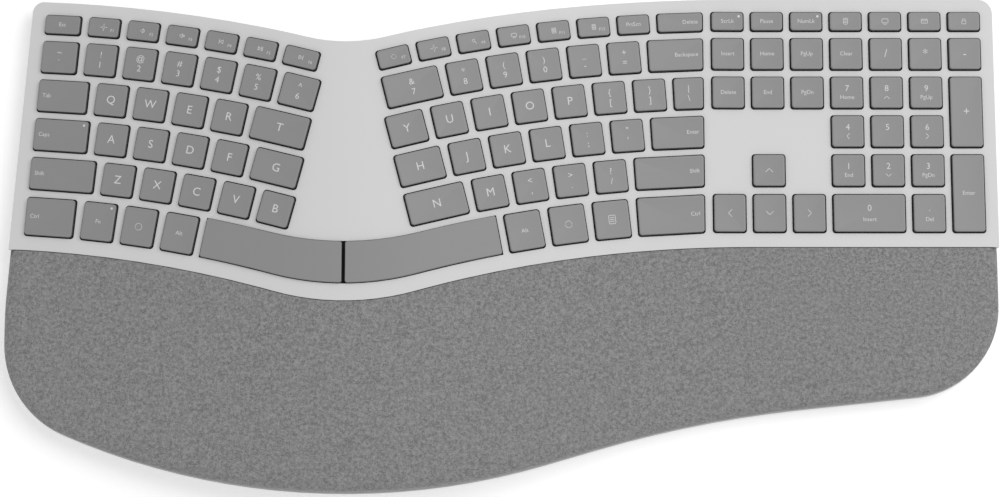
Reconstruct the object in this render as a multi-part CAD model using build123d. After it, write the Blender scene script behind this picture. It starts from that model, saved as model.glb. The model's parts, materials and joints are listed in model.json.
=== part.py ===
from build123d import *
import math
import os

# Ergonomic split keyboard with a fabric palm rest. Millimetres, +Z up, the typist sits at -Y.
# The origin is on the table, under the middle of the outline.

# Outline in plan
WIDTH = 461.0
DEPTH = 231.5
CREST_X = -72.0
LEFT_ARC_X = -261.0
RIGHT_ARC_X = 116.0
LEFT_ARC_RADIUS = 679.0
RIGHT_ARC_RADIUS = 669.0
BACK_DIP_RADIUS = 72.0
BACK_LEFT_RADIUS = 5.0
BACK_RIGHT_RADIUS = 7.0
LEFT_LEAN = 4.2
LEFT_BEND_RADIUS = 200.0
LEFT_BEND_Y = -38.0
FRONT_LEFT_RADIUS = 46.0
FRONT_ARC_RADIUS = 330.0
FRONT_SLOPE = 16.2
FRONT_RUN = 25.0
FRONT_HOLLOW_RADIUS = 544.0
FRONT_END_SLOPE = 6.0
FRONT_RIGHT_RADIUS = 42.0
OVERRUN = 20.0

# Seam between the deck and the palm rest
SEAM_Y = -2.1
SEAM_DIP_RADIUS = 115.0
SEAM_GAP = 0.2

# Gull-wing section of the deck, which falls slightly to the back
DECK_TILT = 1.5
CREST_HEIGHT = 32.2
CREST_RADIUS = 270.0
LEFT_SLOPE = 8.0
RIGHT_SLOPE = 8.0
RIGHT_RUN = 76.0
HOLLOW_RADIUS = 560.0

# Deck shell
DECK_SKIN = 1.6
DECK_WALL = 1.8

# Base housing
FOOT_HEIGHT = 1.2
FLOOR_THICKNESS = 2.0
RIM_TOP = 5.0
BASE_EDGE_BEVEL = 1.0
DECK_LEDGE = 3.2
PALM_LEDGE = 7.5
RIB_THICKNESS = 1.6
RIB_GAP = 0.3

# Key fields
KEY_PITCH = 18.5
KEY_WELL = 15.85
KEY_WEB = 3.0
FUNCTION_WELL_DEPTH = 9.8
FUNCTION_ROW_OFFSET = 15.6
BOTTOM_WELL_DEPTH = 18.6
BOTTOM_ROW_OFFSET = 20.2
NUMBER_ROW_Y = 88.9
WELL_GAP = 0.4
LEFT_FIELD_MARGIN = 6.4
RIGHT_FIELD_EDGE = 94.6
NUMPAD_EDGE = 97.9
SPACE_TOP_DIP_RADIUS = 130.0
SPACE_BOTTOM_DIP_RADIUS = 122.0
SPACE_TOP_Y = 22.8
SPACE_BOTTOM_Y = 4.2
SPACE_SPLIT = 1.6
SPACE_HALF = 34.0

# Keycaps and what carries them
KEY_PROUD = 1.9
KEY_HEIGHT = 3.0
KEY_TOP_WALL = 1.2
KEY_SIDE_WALL = 0.9
CAP_DRAFT = 0.25
KEY_TRAVEL = 1.8
KEY_FLOOR_GAP = 0.5
MEMBRANE_THICKNESS = 0.5
PLATE_THICKNESS = 1.0
SHEET_GAP = 0.1
SHEET_INSET = 6.6
SHEET_SLOT_GAP = 0.6
DOME_BASE = 2.6
DOME_TIP = 1.7
DOME_SIDES = 4
DOME_GAP = 0.15
LINK_THICKNESS = 0.5
LINK_LENGTH = 9.0
LINK_WIDTH = 11.0
LINK_ARM = 1.1
LINK_GAP = 0.35
WIRE_SIZE = 0.8
WIRE_ARM = 5.0
WIRE_MARGIN = 1.4
LIGHT_SIZE = 1.0
LIGHT_GAP = 0.05
LIGHT_INSET = 2.2

# Width of every key in its row, as shares of a normal key, from the left edge of the left field
# and from the right edge of the right field
LEFT_ROW_SHARES = (
    (("esc", 1.13),) + (("left_function_keys", 1.0),) * 5 + (("left_function_keys", 1.07),),
    (("left_number_keys", 1.13),) + (("left_number_keys", 1.0),) * 5 + (("left_number_keys", 1.12),),
    (("tab", 1.56),) + (("left_upper_letters", 1.0),) * 4 + (("left_upper_letters", 1.7),),
    (("caps_lock", 1.69),) + (("left_home_letters", 1.0),) * 4 + (("left_home_letters", 1.45),),
    (("left_shift", 2.0),) + (("left_lower_letters", 1.0),) * 5,
    (("left_ctrl", 1.52), ("fn", 1.03), ("left_start", 1.03), ("left_alt", 1.03)),
)
RIGHT_ROW_SHARES = (
    (("right_function_keys", 1.4),) + (("right_function_keys", 1.0),) * 7,
    (("backspace", 1.68),) + (("right_number_keys", 1.0),) * 5 + (("right_number_keys", 1.7),),
    (("right_upper_keys", 0.93),) + (("right_upper_keys", 1.0),) * 6 + (("right_upper_keys", 1.15),),
    (("enter", 1.6),) + (("right_home_keys", 1.0),) * 5 + (("right_home_keys", 1.4),),
    (("right_shift", 2.1),) + (("right_lower_keys", 1.0),) * 4 + (("right_lower_keys", 1.8),),
    (("right_ctrl", 2.03), ("context_menu", 1.1), ("right_start", 1.1), ("right_alt", 1.1)),
)
# Keys on the square grid: node, column, first row, columns wide, rows deep
GRID_KEYS = (
    tuple(("lock_and_pause_keys", column, 0, 1, 1) for column in range(3))
    + tuple(("media_keys", column, 0, 1, 1) for column in range(3, 7))
    + tuple(("navigation_keys", column, row, 1, 1) for row in (1, 2) for column in range(3))
    + tuple(("numpad_operators", column, 1, 1, 1) for column in range(3, 7))
    + tuple(("numpad_digits", column, row, 1, 1) for row in (2, 3, 4) for column in range(3, 6))
    + (("numpad_digits", 5, 5, 1, 1), ("numpad_zero", 3, 5, 2, 1))
    + (("numpad_plus", 6, 2, 1, 2), ("numpad_enter", 6, 4, 1, 2))
    + (("arrow_up", 1, 4, 1, 1), ("arrow_left", 0, 5, 1, 1), ("arrow_down", 1, 5, 1, 1), ("arrow_right", 2, 5, 1, 1))
)

# Lengthwise sections of the palm rest: place in y, drop below the deck's own line, share of the slopes
PALM_SECTIONS = ((12.0, 0.0, 1.0), (-34.0, 0.0, 1.0), (-80.0, 4.5, 0.9), (-125.0, 14.0, 0.62))
COVER_INSET = 0.5
COVER_THICKNESS = 0.9
COVER_PROUD = 0.3
FOAM_THICKNESS = 2.4
LAYER_GAP = 0.1
CARRIER_WALL = 2.0
COVER_BEVEL = 3.6
INNER_BEVEL = 3.2
CARRIER_RIB_SHARES = (-0.55, -0.1, 0.55)

# Ribs of the base as shares of half the width
BASE_RIB_SHARES = (-0.7, 0.26, 0.5, 0.78)

# Batteries, their bay and door, under the crest
CELL_DIAMETER = 10.5
CELL_LENGTH = 44.5
CELL_NUB_DIAMETER = 3.8
CELL_NUB_LENGTH = 0.8
CELL_GAP = 0.6
CELL_SIDES = 16
BAY_WALL = 1.6
BAY_Y = 44.0
BAY_TOP = 16.5
CONTACT_THICKNESS = 0.4
CONTACT_HEIGHT = 8.0
CONTACT_ROOM = 3.0
CONTACT_GAP = 0.3
CELL_FLOOR = 4.2
DOOR_GAP = 0.4
DOOR_LIP = 1.5
DOOR_THICKNESS = 1.4
DOOR_SEAT_GAP = 0.1

# Circuit board
BOARD_LENGTH = 62.0
BOARD_WIDTH = 30.0
BOARD_THICKNESS = 1.2
BOARD_X = 2.0
BOARD_Y = 78.0
BOARD_STANDOFF = 2.0
CHIP_SIZE = 9.0
CHIP_HEIGHT = 1.2
CHIP_SHARES = (-0.36, 0.34)
STANDOFF_SHARE = 0.42
TAIL_WIDTH = 14.0
TAIL_THICKNESS = 0.3

# Pairing button in the floor
BUTTON_SIZE = 5.0
BUTTON_FLANGE = 1.2
BUTTON_GAP = 0.4
BUTTON_SINK = 0.3
BUTTON_X = 84.0
BUTTON_Y = 84.0
BUTTON_HEIGHT = 3.2
BUTTON_SEAT_GAP = 0.1

# Screws and their bosses
SCREW_HEAD = 4.6
SCREW_HEAD_HEIGHT = 1.2
SCREW_SHANK = 2.2
SCREW_LENGTH = 7.0
SCREW_GAP = 0.1
BOSS_SIZE = 5.4
BOSS_EDGE = 4.0
DECK_SCREW_SHARES = (-0.86, 0.1, 0.92)
FIELD_SCREWS = ((106.0, 43.0), (143.0, 43.0))
PALM_SCREWS = ((-190.0, -50.0), (-72.0, -72.0), (185.0, -28.0))

# Feet
FOOT_LENGTH = 34.0
FOOT_WIDTH = 7.0
FOOT_RECESS = 0.4
FOOT_GAP = 0.15
FEET = ((-196.0, 92.0), (0.0, 92.0), (196.0, 98.0), (-186.0, -62.0), (-72.0, -95.0), (196.0, -44.0))

BACK_EDGE = DEPTH / 2
LEFT_ARC_Y = BACK_EDGE - LEFT_ARC_RADIUS
RIGHT_ARC_Y = BACK_EDGE - RIGHT_ARC_RADIUS
PLATE_TOP = KEY_HEIGHT - KEY_PROUD + KEY_TRAVEL + KEY_FLOOR_GAP
PLATE_BOTTOM = PLATE_TOP + MEMBRANE_THICKNESS + SHEET_GAP + PLATE_THICKNESS


def turned(angle):
    """Unit vector at an angle from +X."""
    return Vector(math.cos(math.radians(angle)), math.sin(math.radians(angle)))


def arc_y(centre_x, centre_y, radius, x):
    return centre_y + math.sqrt(radius ** 2 - (x - centre_x) ** 2)


def wave(apex, dip):
    """Line across the keyboard that follows both key fields and dips to the front between them."""
    left = Vector(LEFT_ARC_X, LEFT_ARC_Y)
    right = Vector(RIGHT_ARC_X, RIGHT_ARC_Y)
    left_radius = apex - LEFT_ARC_Y
    right_radius = apex - RIGHT_ARC_Y
    span = right - left
    along = ((left_radius + dip) ** 2 - (right_radius + dip) ** 2 + span.length ** 2) / (2 * span.length)
    aside = math.sqrt((left_radius + dip) ** 2 - along ** 2)
    across = span.normalized()
    centre = left + across * along + Vector(-across.Y, across.X) * aside
    first = left + (centre - left).normalized() * left_radius
    second = right + (centre - right).normalized() * right_radius
    start_x = -WIDTH / 2 - OVERRUN
    left_mid = (start_x + first.X) / 2
    right_mid = (second.X + RIGHT_ARC_X) / 2
    start = Vector(start_x, arc_y(LEFT_ARC_X, LEFT_ARC_Y, left_radius, start_x))
    end = Vector(RIGHT_ARC_X, apex)
    return [
        Edge.make_three_point_arc(
            start, Vector(left_mid, arc_y(LEFT_ARC_X, LEFT_ARC_Y, left_radius, left_mid)), first
        ),
        Edge.make_three_point_arc(first, centre - Vector(0, dip), second),
        Edge.make_three_point_arc(
            second, Vector(right_mid, arc_y(RIGHT_ARC_X, RIGHT_ARC_Y, right_radius, right_mid)), end
        ),
        Edge.make_line(end, Vector(WIDTH / 2 + OVERRUN, apex)),
    ]


def closed_face(edges, *corners):
    """Face inside a chain of edges that is closed through straight corners."""
    points = [edges[-1] @ 1, *corners, edges[0] @ 0]
    lines = [Edge.make_line(a, b) for a, b in zip(points, points[1:])]
    return Sketch() + Face(Wire(edges + lines))


def beside_wave(apex, dip, far_y):
    """Area between a wave and a straight line at far_y."""
    edges = wave(apex, dip)
    reach = WIDTH / 2 + OVERRUN
    return closed_face(edges, Vector(reach, far_y), Vector(-reach, far_y))


def left_edge_x(y):
    """Straight slanted part of the left edge."""
    lean = math.radians(LEFT_LEAN)
    foot_x = -WIDTH / 2 + LEFT_BEND_RADIUS * (1 - math.cos(lean))
    foot_y = LEFT_BEND_Y + LEFT_BEND_RADIUS * math.sin(lean)
    return foot_x + (y - foot_y) * math.tan(lean)


def nearest(vertices, point):
    return min(vertices, key=lambda v: (Vector(*v) - point).length)


def make_outline():
    """Outline of the whole keyboard in plan."""
    front = Vector(CREST_X, -BACK_EDGE + FRONT_ARC_RADIUS)
    corner_x = -WIDTH / 2 + FRONT_LEFT_RADIUS
    reach = FRONT_ARC_RADIUS - FRONT_LEFT_RADIUS
    join = math.degrees(math.asin((front.X - corner_x) / reach))
    corner_y = front.Y - reach * math.cos(math.radians(join))
    lean = math.radians(LEFT_LEAN)
    top = BACK_EDGE + OVERRUN
    bend = Vector(left_edge_x(LEFT_BEND_Y + LEFT_BEND_RADIUS * math.sin(lean)),
                  LEFT_BEND_Y + LEFT_BEND_RADIUS * math.sin(lean))
    edges = [Edge.make_line(Vector(left_edge_x(top), top), bend)]
    edges.append(JernArc(bend, -turned(90 - LEFT_LEAN), LEFT_BEND_RADIUS, LEFT_LEAN).edge())
    edges.append(Edge.make_line(edges[-1] @ 1, Vector(-WIDTH / 2, corner_y)))
    edges.append(JernArc(edges[-1] @ 1, (0, -1), FRONT_LEFT_RADIUS, 90 - join).edge())
    edges.append(JernArc(edges[-1] @ 1, turned(-join), FRONT_ARC_RADIUS, join + FRONT_SLOPE).edge())
    rise = turned(FRONT_SLOPE)
    edges.append(Edge.make_line(edges[-1] @ 1, edges[-1] @ 1 + rise * FRONT_RUN))
    hollow = JernArc(edges[-1] @ 1, rise, FRONT_HOLLOW_RADIUS, FRONT_END_SLOPE - FRONT_SLOPE).edge()
    edges.append(hollow)
    end_slope = turned(FRONT_END_SLOPE)
    corner_start = WIDTH / 2 - FRONT_RIGHT_RADIUS * (1 - end_slope.Y)
    run = (corner_start - (hollow @ 1).X) / end_slope.X
    edges.append(Edge.make_line(hollow @ 1, hollow @ 1 + end_slope * run))
    edges.append(JernArc(edges[-1] @ 1, end_slope, FRONT_RIGHT_RADIUS, 90 - FRONT_END_SLOPE).edge())
    edges.append(Edge.make_line(edges[-1] @ 1, Vector(WIDTH / 2, top)))
    plan = closed_face(edges) & beside_wave(BACK_EDGE, BACK_DIP_RADIUS, -DEPTH)
    corner = nearest(plan.vertices(), Vector(WIDTH / 2, BACK_EDGE))
    plan = fillet([corner], BACK_RIGHT_RADIUS)
    corner = nearest(plan.vertices(), Vector(left_edge_x(BACK_EDGE), BACK_EDGE))
    return fillet([corner], BACK_LEFT_RADIUS)


OUTLINE = make_outline()
DECK_PLAN = OUTLINE & beside_wave(SEAM_Y, SEAM_DIP_RADIUS, DEPTH)
PALM_PLAN = OUTLINE & beside_wave(SEAM_Y - SEAM_GAP, SEAM_DIP_RADIUS + SEAM_GAP, -DEPTH)


def inset(plan, amount):
    return offset(plan, -amount, kind=Kind.INTERSECTION)


def upright(plan, bottom, top):
    """Vertical prism of a plan between two heights."""
    return Pos(0, 0, bottom) * extrude(plan, top - bottom)


def gull_points(depth):
    """Joins of the gull-wing section at a depth below the deck surface, with its two arc middles."""
    left = turned(90 + LEFT_SLOPE)
    right = turned(90 - RIGHT_SLOPE)
    crest = Vector(CREST_X, CREST_HEIGHT - CREST_RADIUS)
    first = crest + left * (CREST_RADIUS - depth)
    top = crest + Vector(0, CREST_RADIUS - depth)
    second = crest + right * (CREST_RADIUS - depth)
    third = second + turned(-RIGHT_SLOPE) * RIGHT_RUN
    hollow = third + right * (HOLLOW_RADIUS + depth)
    middle = hollow - turned(90 - RIGHT_SLOPE / 2) * (HOLLOW_RADIUS + depth)
    fourth = hollow - Vector(0, HOLLOW_RADIUS + depth)
    return first, top, second, third, middle, fourth


def gull_section(depth, base, lift=0, share=1):
    """Closed face under the gull-wing line, upright across the keyboard."""
    reach = WIDTH / 2 + OVERRUN
    slope = math.tan(math.radians(LEFT_SLOPE))

    def put(point):
        return Vector(point.X, 0, CREST_HEIGHT + lift + (point.Y - CREST_HEIGHT) * share)

    first, top, second, third, middle, fourth = gull_points(depth)
    left_end = Vector(-reach, first.Y - (first.X + reach) * slope)
    right_end = Vector(reach, fourth.Y)
    edges = [
        Edge.make_line(put(left_end), put(first)),
        Edge.make_three_point_arc(put(first), put(top), put(second)),
        Edge.make_line(put(second), put(third)),
        Edge.make_three_point_arc(put(third), put(middle), put(fourth)),
        Edge.make_line(put(fourth), put(right_end)),
    ]
    points = [edges[-1] @ 1, Vector(reach, 0, base), Vector(-reach, 0, base), edges[0] @ 0]
    lines = [Edge.make_line(a, b) for a, b in zip(points, points[1:])]
    return Face(Wire(edges + lines))


TILTED = Rot(-DECK_TILT, 0, 0)


def under_deck(depth):
    """Everything below the deck surface moved down by a depth along its normal."""
    return TILTED * extrude(gull_section(depth, -DEPTH / 4), DEPTH, both=True)


def deck_height(x):
    """Height of the deck surface in its own frame, and its slope in degrees."""
    first, top, second, third, middle, fourth = gull_points(0)
    if x < first.X:
        return first.Y - (first.X - x) * math.tan(math.radians(LEFT_SLOPE)), LEFT_SLOPE
    if x < second.X:
        rise = math.sqrt(CREST_RADIUS ** 2 - (x - CREST_X) ** 2)
        return CREST_HEIGHT - CREST_RADIUS + rise, math.degrees(math.asin((CREST_X - x) / CREST_RADIUS))
    if x < third.X:
        return second.Y - (x - second.X) * math.tan(math.radians(RIGHT_SLOPE)), -RIGHT_SLOPE
    if x < fourth.X:
        fall = math.sqrt(HOLLOW_RADIUS ** 2 - (fourth.X - x) ** 2)
        return fourth.Y + HOLLOW_RADIUS - fall, -math.degrees(math.asin((fourth.X - x) / HOLLOW_RADIUS))
    return fourth.Y, 0


class Key:
    """Place and size of one key: its well in the deck, its cap and what lies under it."""

    def __init__(self, node, x, y, turn, width, depth, left_lean=0, right_lean=0):
        self.node = node
        self.width = width
        self.depth = depth
        self.left_lean = left_lean
        self.right_lean = right_lean
        height, slope = deck_height(x)
        self.place = TILTED * Pos(x, y, height) * Rot(0, -slope, 0) * Rot(0, 0, turn)
        self.sideways = width < depth

    def corners(self, inward):
        """Four corners of the key's plan, counter-clockwise from the front left."""
        half = self.depth / 2 - inward
        left = -self.width / 2 + inward
        right = self.width / 2 - inward
        left_shift = half * math.tan(math.radians(self.left_lean))
        right_shift = half * math.tan(math.radians(self.right_lean))
        return [
            Vector(left - left_shift, -half), Vector(right - right_shift, -half),
            Vector(right + right_shift, half), Vector(left + left_shift, half),
        ]

    def plan(self, inward):
        return Polygon(*self.corners(inward), align=None)


def row_positions(widths, web):
    """Middles of keys in a row, measured along it from its outer edge."""
    places = []
    run = 0
    for width in widths:
        places.append(run + width / 2)
        run += width + web
    return places


def row_height(row):
    """Middle of a row at the apex of its arc, and the depth of its wells."""
    if row == 0:
        return NUMBER_ROW_Y + FUNCTION_ROW_OFFSET, FUNCTION_WELL_DEPTH
    if row == 5:
        return NUMBER_ROW_Y - 3 * KEY_PITCH - BOTTOM_ROW_OFFSET, BOTTOM_WELL_DEPTH
    return NUMBER_ROW_Y - (row - 1) * KEY_PITCH, KEY_WELL


def left_field():
    """Keys of the left field, each row along its arc from the slanted left edge."""
    keys = []
    for row, shares in enumerate(LEFT_ROW_SHARES):
        apex, depth = row_height(row)
        radius = apex - LEFT_ARC_Y
        edge = left_edge_x(apex) + LEFT_FIELD_MARGIN
        start = math.asin((edge - LEFT_ARC_X) / radius)
        widths = [share * KEY_WELL for node, share in shares]
        for i, run in enumerate(row_positions(widths, KEY_WEB)):
            angle = start + run / radius
            x = LEFT_ARC_X + radius * math.sin(angle)
            y = LEFT_ARC_Y + radius * math.cos(angle)
            lean = LEFT_LEAN - math.degrees(angle) if i == 0 else 0
            keys.append(Key(shares[i][0], x, y, -math.degrees(angle), widths[i], depth, lean))
    return keys


def right_field():
    """Keys of the right field, each row along its arc from the field's straight right edge."""
    keys = []
    for row, shares in enumerate(RIGHT_ROW_SHARES):
        apex, depth = row_height(row)
        radius = apex - RIGHT_ARC_Y
        start = math.asin((RIGHT_FIELD_EDGE - RIGHT_ARC_X) / radius)
        widths = [share * KEY_WELL for node, share in shares]
        for i, run in enumerate(row_positions(widths, KEY_WEB)):
            angle = start - run / radius
            x = RIGHT_ARC_X + radius * math.sin(angle)
            y = RIGHT_ARC_Y + radius * math.cos(angle)
            lean = -math.degrees(angle) if i == 0 else 0
            keys.append(Key(shares[i][0], x, y, -math.degrees(angle), widths[i], depth, 0, lean))
    return keys


def grid_field():
    """Navigation keys, arrows and number pad on the square grid."""
    keys = []
    for node, column, row, columns, rows in GRID_KEYS:
        apex, depth = row_height(row)
        last_apex, last_depth = row_height(row + rows - 1)
        back = apex + depth / 2
        front = last_apex - last_depth / 2
        width = columns * KEY_PITCH - KEY_PITCH + KEY_WELL
        x = NUMPAD_EDGE + column * KEY_PITCH + width / 2
        keys.append(Key(node, x, (back + front) / 2, 0, width, back - front))
    return keys


KEYS = left_field() + right_field() + grid_field()


def prism(plan, bottom, top):
    """Prism of a plan in a key's own frame."""
    return Pos(0, 0, bottom) * extrude(plan, top - bottom)


CAP_BOTTOM = KEY_PROUD - KEY_HEIGHT
CAP_CEILING = KEY_PROUD - KEY_TOP_WALL
CAVITY_INSET = WELL_GAP + KEY_SIDE_WALL


def keycap(key):
    """Hollow cap of one key, slightly narrower at the top."""
    base = Pos(0, 0, CAP_BOTTOM) * key.plan(WELL_GAP)
    top = Pos(0, 0, KEY_PROUD) * key.plan(WELL_GAP + CAP_DRAFT)
    return loft([base.face(), top.face()], ruled=True) - prism(key.plan(CAVITY_INSET), CAP_BOTTOM, CAP_CEILING)


def well(key):
    """Opening in the deck for one key."""
    return key.place * prism(key.plan(0), -PLATE_TOP, KEY_HEIGHT)


def dome(place):
    """Rubber dome from the membrane to the underside of the cap."""
    base = Pos(0, 0, DOME_GAP - PLATE_TOP) * RegularPolygon(DOME_BASE, DOME_SIDES)
    tip = Pos(0, 0, CAP_CEILING - DOME_GAP) * RegularPolygon(DOME_TIP, DOME_SIDES)
    return place * loft([base.face(), tip.face()], ruled=True)


def link_plan(width, length):
    """Fork of a scissor link: two arms and the bar that joins them at one end."""
    half = width / 2
    end = length / 2
    return Polygon(
        (-half, -end), (-half + LINK_ARM, -end), (-half + LINK_ARM, end - LINK_ARM),
        (half - LINK_ARM, end - LINK_ARM), (half - LINK_ARM, -end), (half, -end),
        (half, end), (-half, end), align=None,
    )


def scissor(key):
    """Outer and inner fork of one key, crossed around its dome."""
    low = -PLATE_TOP + LINK_GAP + LINK_THICKNESS / 2
    high = CAP_CEILING - LINK_GAP - LINK_THICKNESS / 2
    room = min(key.depth, key.width) - 2 * CAVITY_INSET - 2 * LINK_GAP
    length = min(LINK_LENGTH, room)
    tilt = math.degrees(math.asin((high - low) / length))
    middle = key.place * Pos(0, 0, (low + high) / 2)
    if key.sideways:
        middle = middle * Rot(0, 0, 90)
    forks = []
    for width, turn in ((LINK_WIDTH, 0), (LINK_WIDTH - 2 * LINK_ARM - 2 * LINK_GAP, 180)):
        fork = extrude(link_plan(width, length), LINK_THICKNESS / 2, both=True)
        forks.append(middle * Rot(0, 0, turn) * Rot(tilt, 0, 0) * fork)
    return forks


def stabiliser_wire(key):
    """Bent wire that keeps a wide cap level: a long bar and two short arms."""
    long_side = max(key.width, key.depth)
    short_side = min(key.width, key.depth)
    half = long_side / 2 - CAVITY_INSET - WIRE_MARGIN
    back = short_side / 2 - CAVITY_INSET - WIRE_MARGIN
    plan = Polygon(
        (-half, back - WIRE_ARM), (-half + WIRE_SIZE, back - WIRE_ARM), (-half + WIRE_SIZE, back - WIRE_SIZE),
        (half - WIRE_SIZE, back - WIRE_SIZE), (half - WIRE_SIZE, back - WIRE_ARM), (half, back - WIRE_ARM),
        (half, back), (-half, back), align=None,
    )
    place = key.place * Rot(0, 0, 90) if key.sideways else key.place
    top = CAP_CEILING - 2 * LINK_GAP
    return place * prism(plan, top - WIRE_SIZE, top)


def light_place(key):
    """Middle of the small light at the back right corner of a cap."""
    return key.place * Pos(key.width / 2 - WELL_GAP - LIGHT_INSET, key.depth / 2 - WELL_GAP - LIGHT_INSET, 0)


def space_plan(inward, side):
    """Plan of one space bar (side -1 or 1), or of their shared well (side 0)."""
    lower = beside_wave(SPACE_BOTTOM_Y + inward, SPACE_BOTTOM_DIP_RADIUS - inward, DEPTH)
    upper = beside_wave(SPACE_TOP_Y - inward, SPACE_TOP_DIP_RADIUS + inward, -DEPTH)
    plan = lower & upper
    ends = []
    for field, last in ((-1, LEFT_ALT), (1, RIGHT_ALT)):
        beyond = last.corners(-KEY_WEB - inward)
        ends.append([last.place * Pos(point.X, point.Y, 0) for point in beyond])
    front_left, back_left = ends[0][1].position, ends[0][2].position
    front_right, back_right = ends[1][0].position, ends[1][3].position
    if side == -1:
        front_right = Vector(CREST_X - SPACE_SPLIT / 2, front_left.Y)
        back_right = Vector(CREST_X - SPACE_SPLIT / 2, back_left.Y)
    if side == 1:
        front_left = Vector(CREST_X + SPACE_SPLIT / 2, front_right.Y)
        back_left = Vector(CREST_X + SPACE_SPLIT / 2, back_right.Y)
    corners = []
    for front, back in ((front_left, back_left), (front_right, back_right)):
        along = back - front
        corners.append((Vector(front.X, front.Y) - Vector(along.X, along.Y) * 3,
                        Vector(back.X, back.Y) + Vector(along.X, along.Y) * 3))
    band = Polygon(corners[0][0], corners[1][0], corners[1][1], corners[0][1], align=None)
    return plan & band


LEFT_ALT = next(key for key in KEYS if key.node == "left_alt")
RIGHT_ALT = next(key for key in KEYS if key.node == "right_alt")


def space_bar(side):
    """Hollow space bar that follows the curve of the deck."""
    tall = TILTED * upright(space_plan(WELL_GAP, side), 0, DEPTH / 2)
    hollow = TILTED * upright(space_plan(CAVITY_INSET, side), 0, DEPTH / 2)
    body = (tall & under_deck(-KEY_PROUD)) - under_deck(-CAP_BOTTOM)
    return body - (hollow & under_deck(-CAP_CEILING))


def space_key(side):
    """Frame under the middle of a space bar, as for a key."""
    x = CREST_X + side * SPACE_HALF
    mid = (SPACE_TOP_Y + SPACE_BOTTOM_Y) / 2
    centre_x, centre_y = (LEFT_ARC_X, LEFT_ARC_Y) if side < 0 else (RIGHT_ARC_X, RIGHT_ARC_Y)
    radius = mid - centre_y
    angle = math.degrees(math.asin((x - centre_x) / radius))
    y = arc_y(centre_x, centre_y, radius, x)
    return Key("space", x, y, -angle, SPACE_HALF, SPACE_TOP_Y - SPACE_BOTTOM_Y)


FLOOR_TOP = FOOT_HEIGHT + FLOOR_THICKNESS
BOARD_TOP = FLOOR_TOP + BOARD_STANDOFF + BOARD_THICKNESS
BAY_WIDTH = 2 * CELL_DIAMETER + 3 * CELL_GAP
BAY_LENGTH = CELL_LENGTH + CELL_NUB_LENGTH + 2 * CONTACT_ROOM
HIGH = DEPTH / 4


def block(x, y, bottom, length, width, height):
    """Upright box around a point in plan."""
    return Pos(x, y, bottom) * extrude(Rectangle(length, width), height)


def boss_spots():
    """Screw places under the deck: along its back edge and in the bare part of the number pad."""
    spots = []
    for share in DECK_SCREW_SHARES:
        x = share * WIDTH / 2
        if x < CREST_X:
            y = arc_y(LEFT_ARC_X, LEFT_ARC_Y, LEFT_ARC_RADIUS, x)
        elif x < RIGHT_ARC_X:
            y = arc_y(RIGHT_ARC_X, RIGHT_ARC_Y, RIGHT_ARC_RADIUS, x)
        else:
            y = BACK_EDGE
        spots.append((x, y - BOSS_EDGE))
    return spots + list(FIELD_SCREWS)


def hexagon(spot, size, bottom, top):
    """Upright six-sided prism: a boss, a screw hole or a screw's shank."""
    return Pos(spot[0], spot[1], bottom) * extrude(RegularPolygon(size / 2, 6), top - bottom)


def make_deck_cover():
    """Thin moulded deck with a well for every key, a skirt and screw bosses."""
    outer = upright(DECK_PLAN, RIM_TOP, HIGH) & under_deck(0)
    hollow = upright(inset(DECK_PLAN, DECK_WALL), 0, HIGH) & under_deck(DECK_SKIN)
    shell = outer - hollow
    backing = upright(inset(DECK_PLAN, DECK_WALL / 2), 0, HIGH) & under_deck(DECK_SKIN / 2)
    for spot in boss_spots():
        shell = shell + (hexagon(spot, BOSS_SIZE, FLOOR_TOP, HIGH) & backing)
    wells = [well(key) for key in KEYS]
    wells.append(TILTED * upright(space_plan(0, 0), 0, HIGH) & under_deck(-KEY_HEIGHT))
    holes = [hexagon(spot, SCREW_SHANK, 0, FLOOR_TOP + SCREW_LENGTH) for spot in boss_spots()]
    return shell - (wells + holes)


def make_sheet(top, bottom, edge):
    """Sheet that follows the deck between two depths, clear of screws and of the ribbon tail."""
    sheet = (upright(inset(DECK_PLAN, edge), 0, HIGH) & under_deck(top)) - under_deck(bottom)
    return sheet - [hexagon(spot, BOSS_SIZE + 2 * SHEET_SLOT_GAP, 0, HIGH) for spot in FIELD_SCREWS]


def make_key_plate():
    """Bent metal plate that carries the keys, with a slot for the tail."""
    slot = block(BOARD_X, TAIL_Y, 0, TAIL_WIDTH + 2 * SHEET_SLOT_GAP, TAIL_THICKNESS + 2 * SHEET_SLOT_GAP, HIGH)
    return make_sheet(PLATE_BOTTOM - PLATE_THICKNESS, PLATE_BOTTOM, SHEET_INSET) - slot


TAIL_Y = BOARD_Y - BOARD_WIDTH / 4


def make_membrane():
    """Printed sheet on the plate, with the tail that runs down to the circuit board."""
    sheet = make_sheet(PLATE_TOP, PLATE_TOP + MEMBRANE_THICKNESS, SHEET_INSET + SHEET_GAP)
    tail = block(BOARD_X, TAIL_Y, BOARD_TOP + CHIP_HEIGHT, TAIL_WIDTH, TAIL_THICKNESS, HIGH)
    return sheet + (tail & under_deck(PLATE_TOP + MEMBRANE_THICKNESS / 2))


def palm_block(drop):
    """Everything below the palm rest's crowned top, moved down by a drop."""
    fall = math.tan(math.radians(DECK_TILT))
    sections = [
        Pos(0, y, 0) * gull_section(0, 0, -y * fall - down - drop, share)
        for y, down, share in PALM_SECTIONS
    ]
    return loft(sections)


def palm_body(edge, drop, bottom):
    """Palm rest drawn in by an edge distance and lowered by a drop."""
    return upright(inset(PALM_PLAN, edge), bottom, HIGH) & palm_block(drop)


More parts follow.
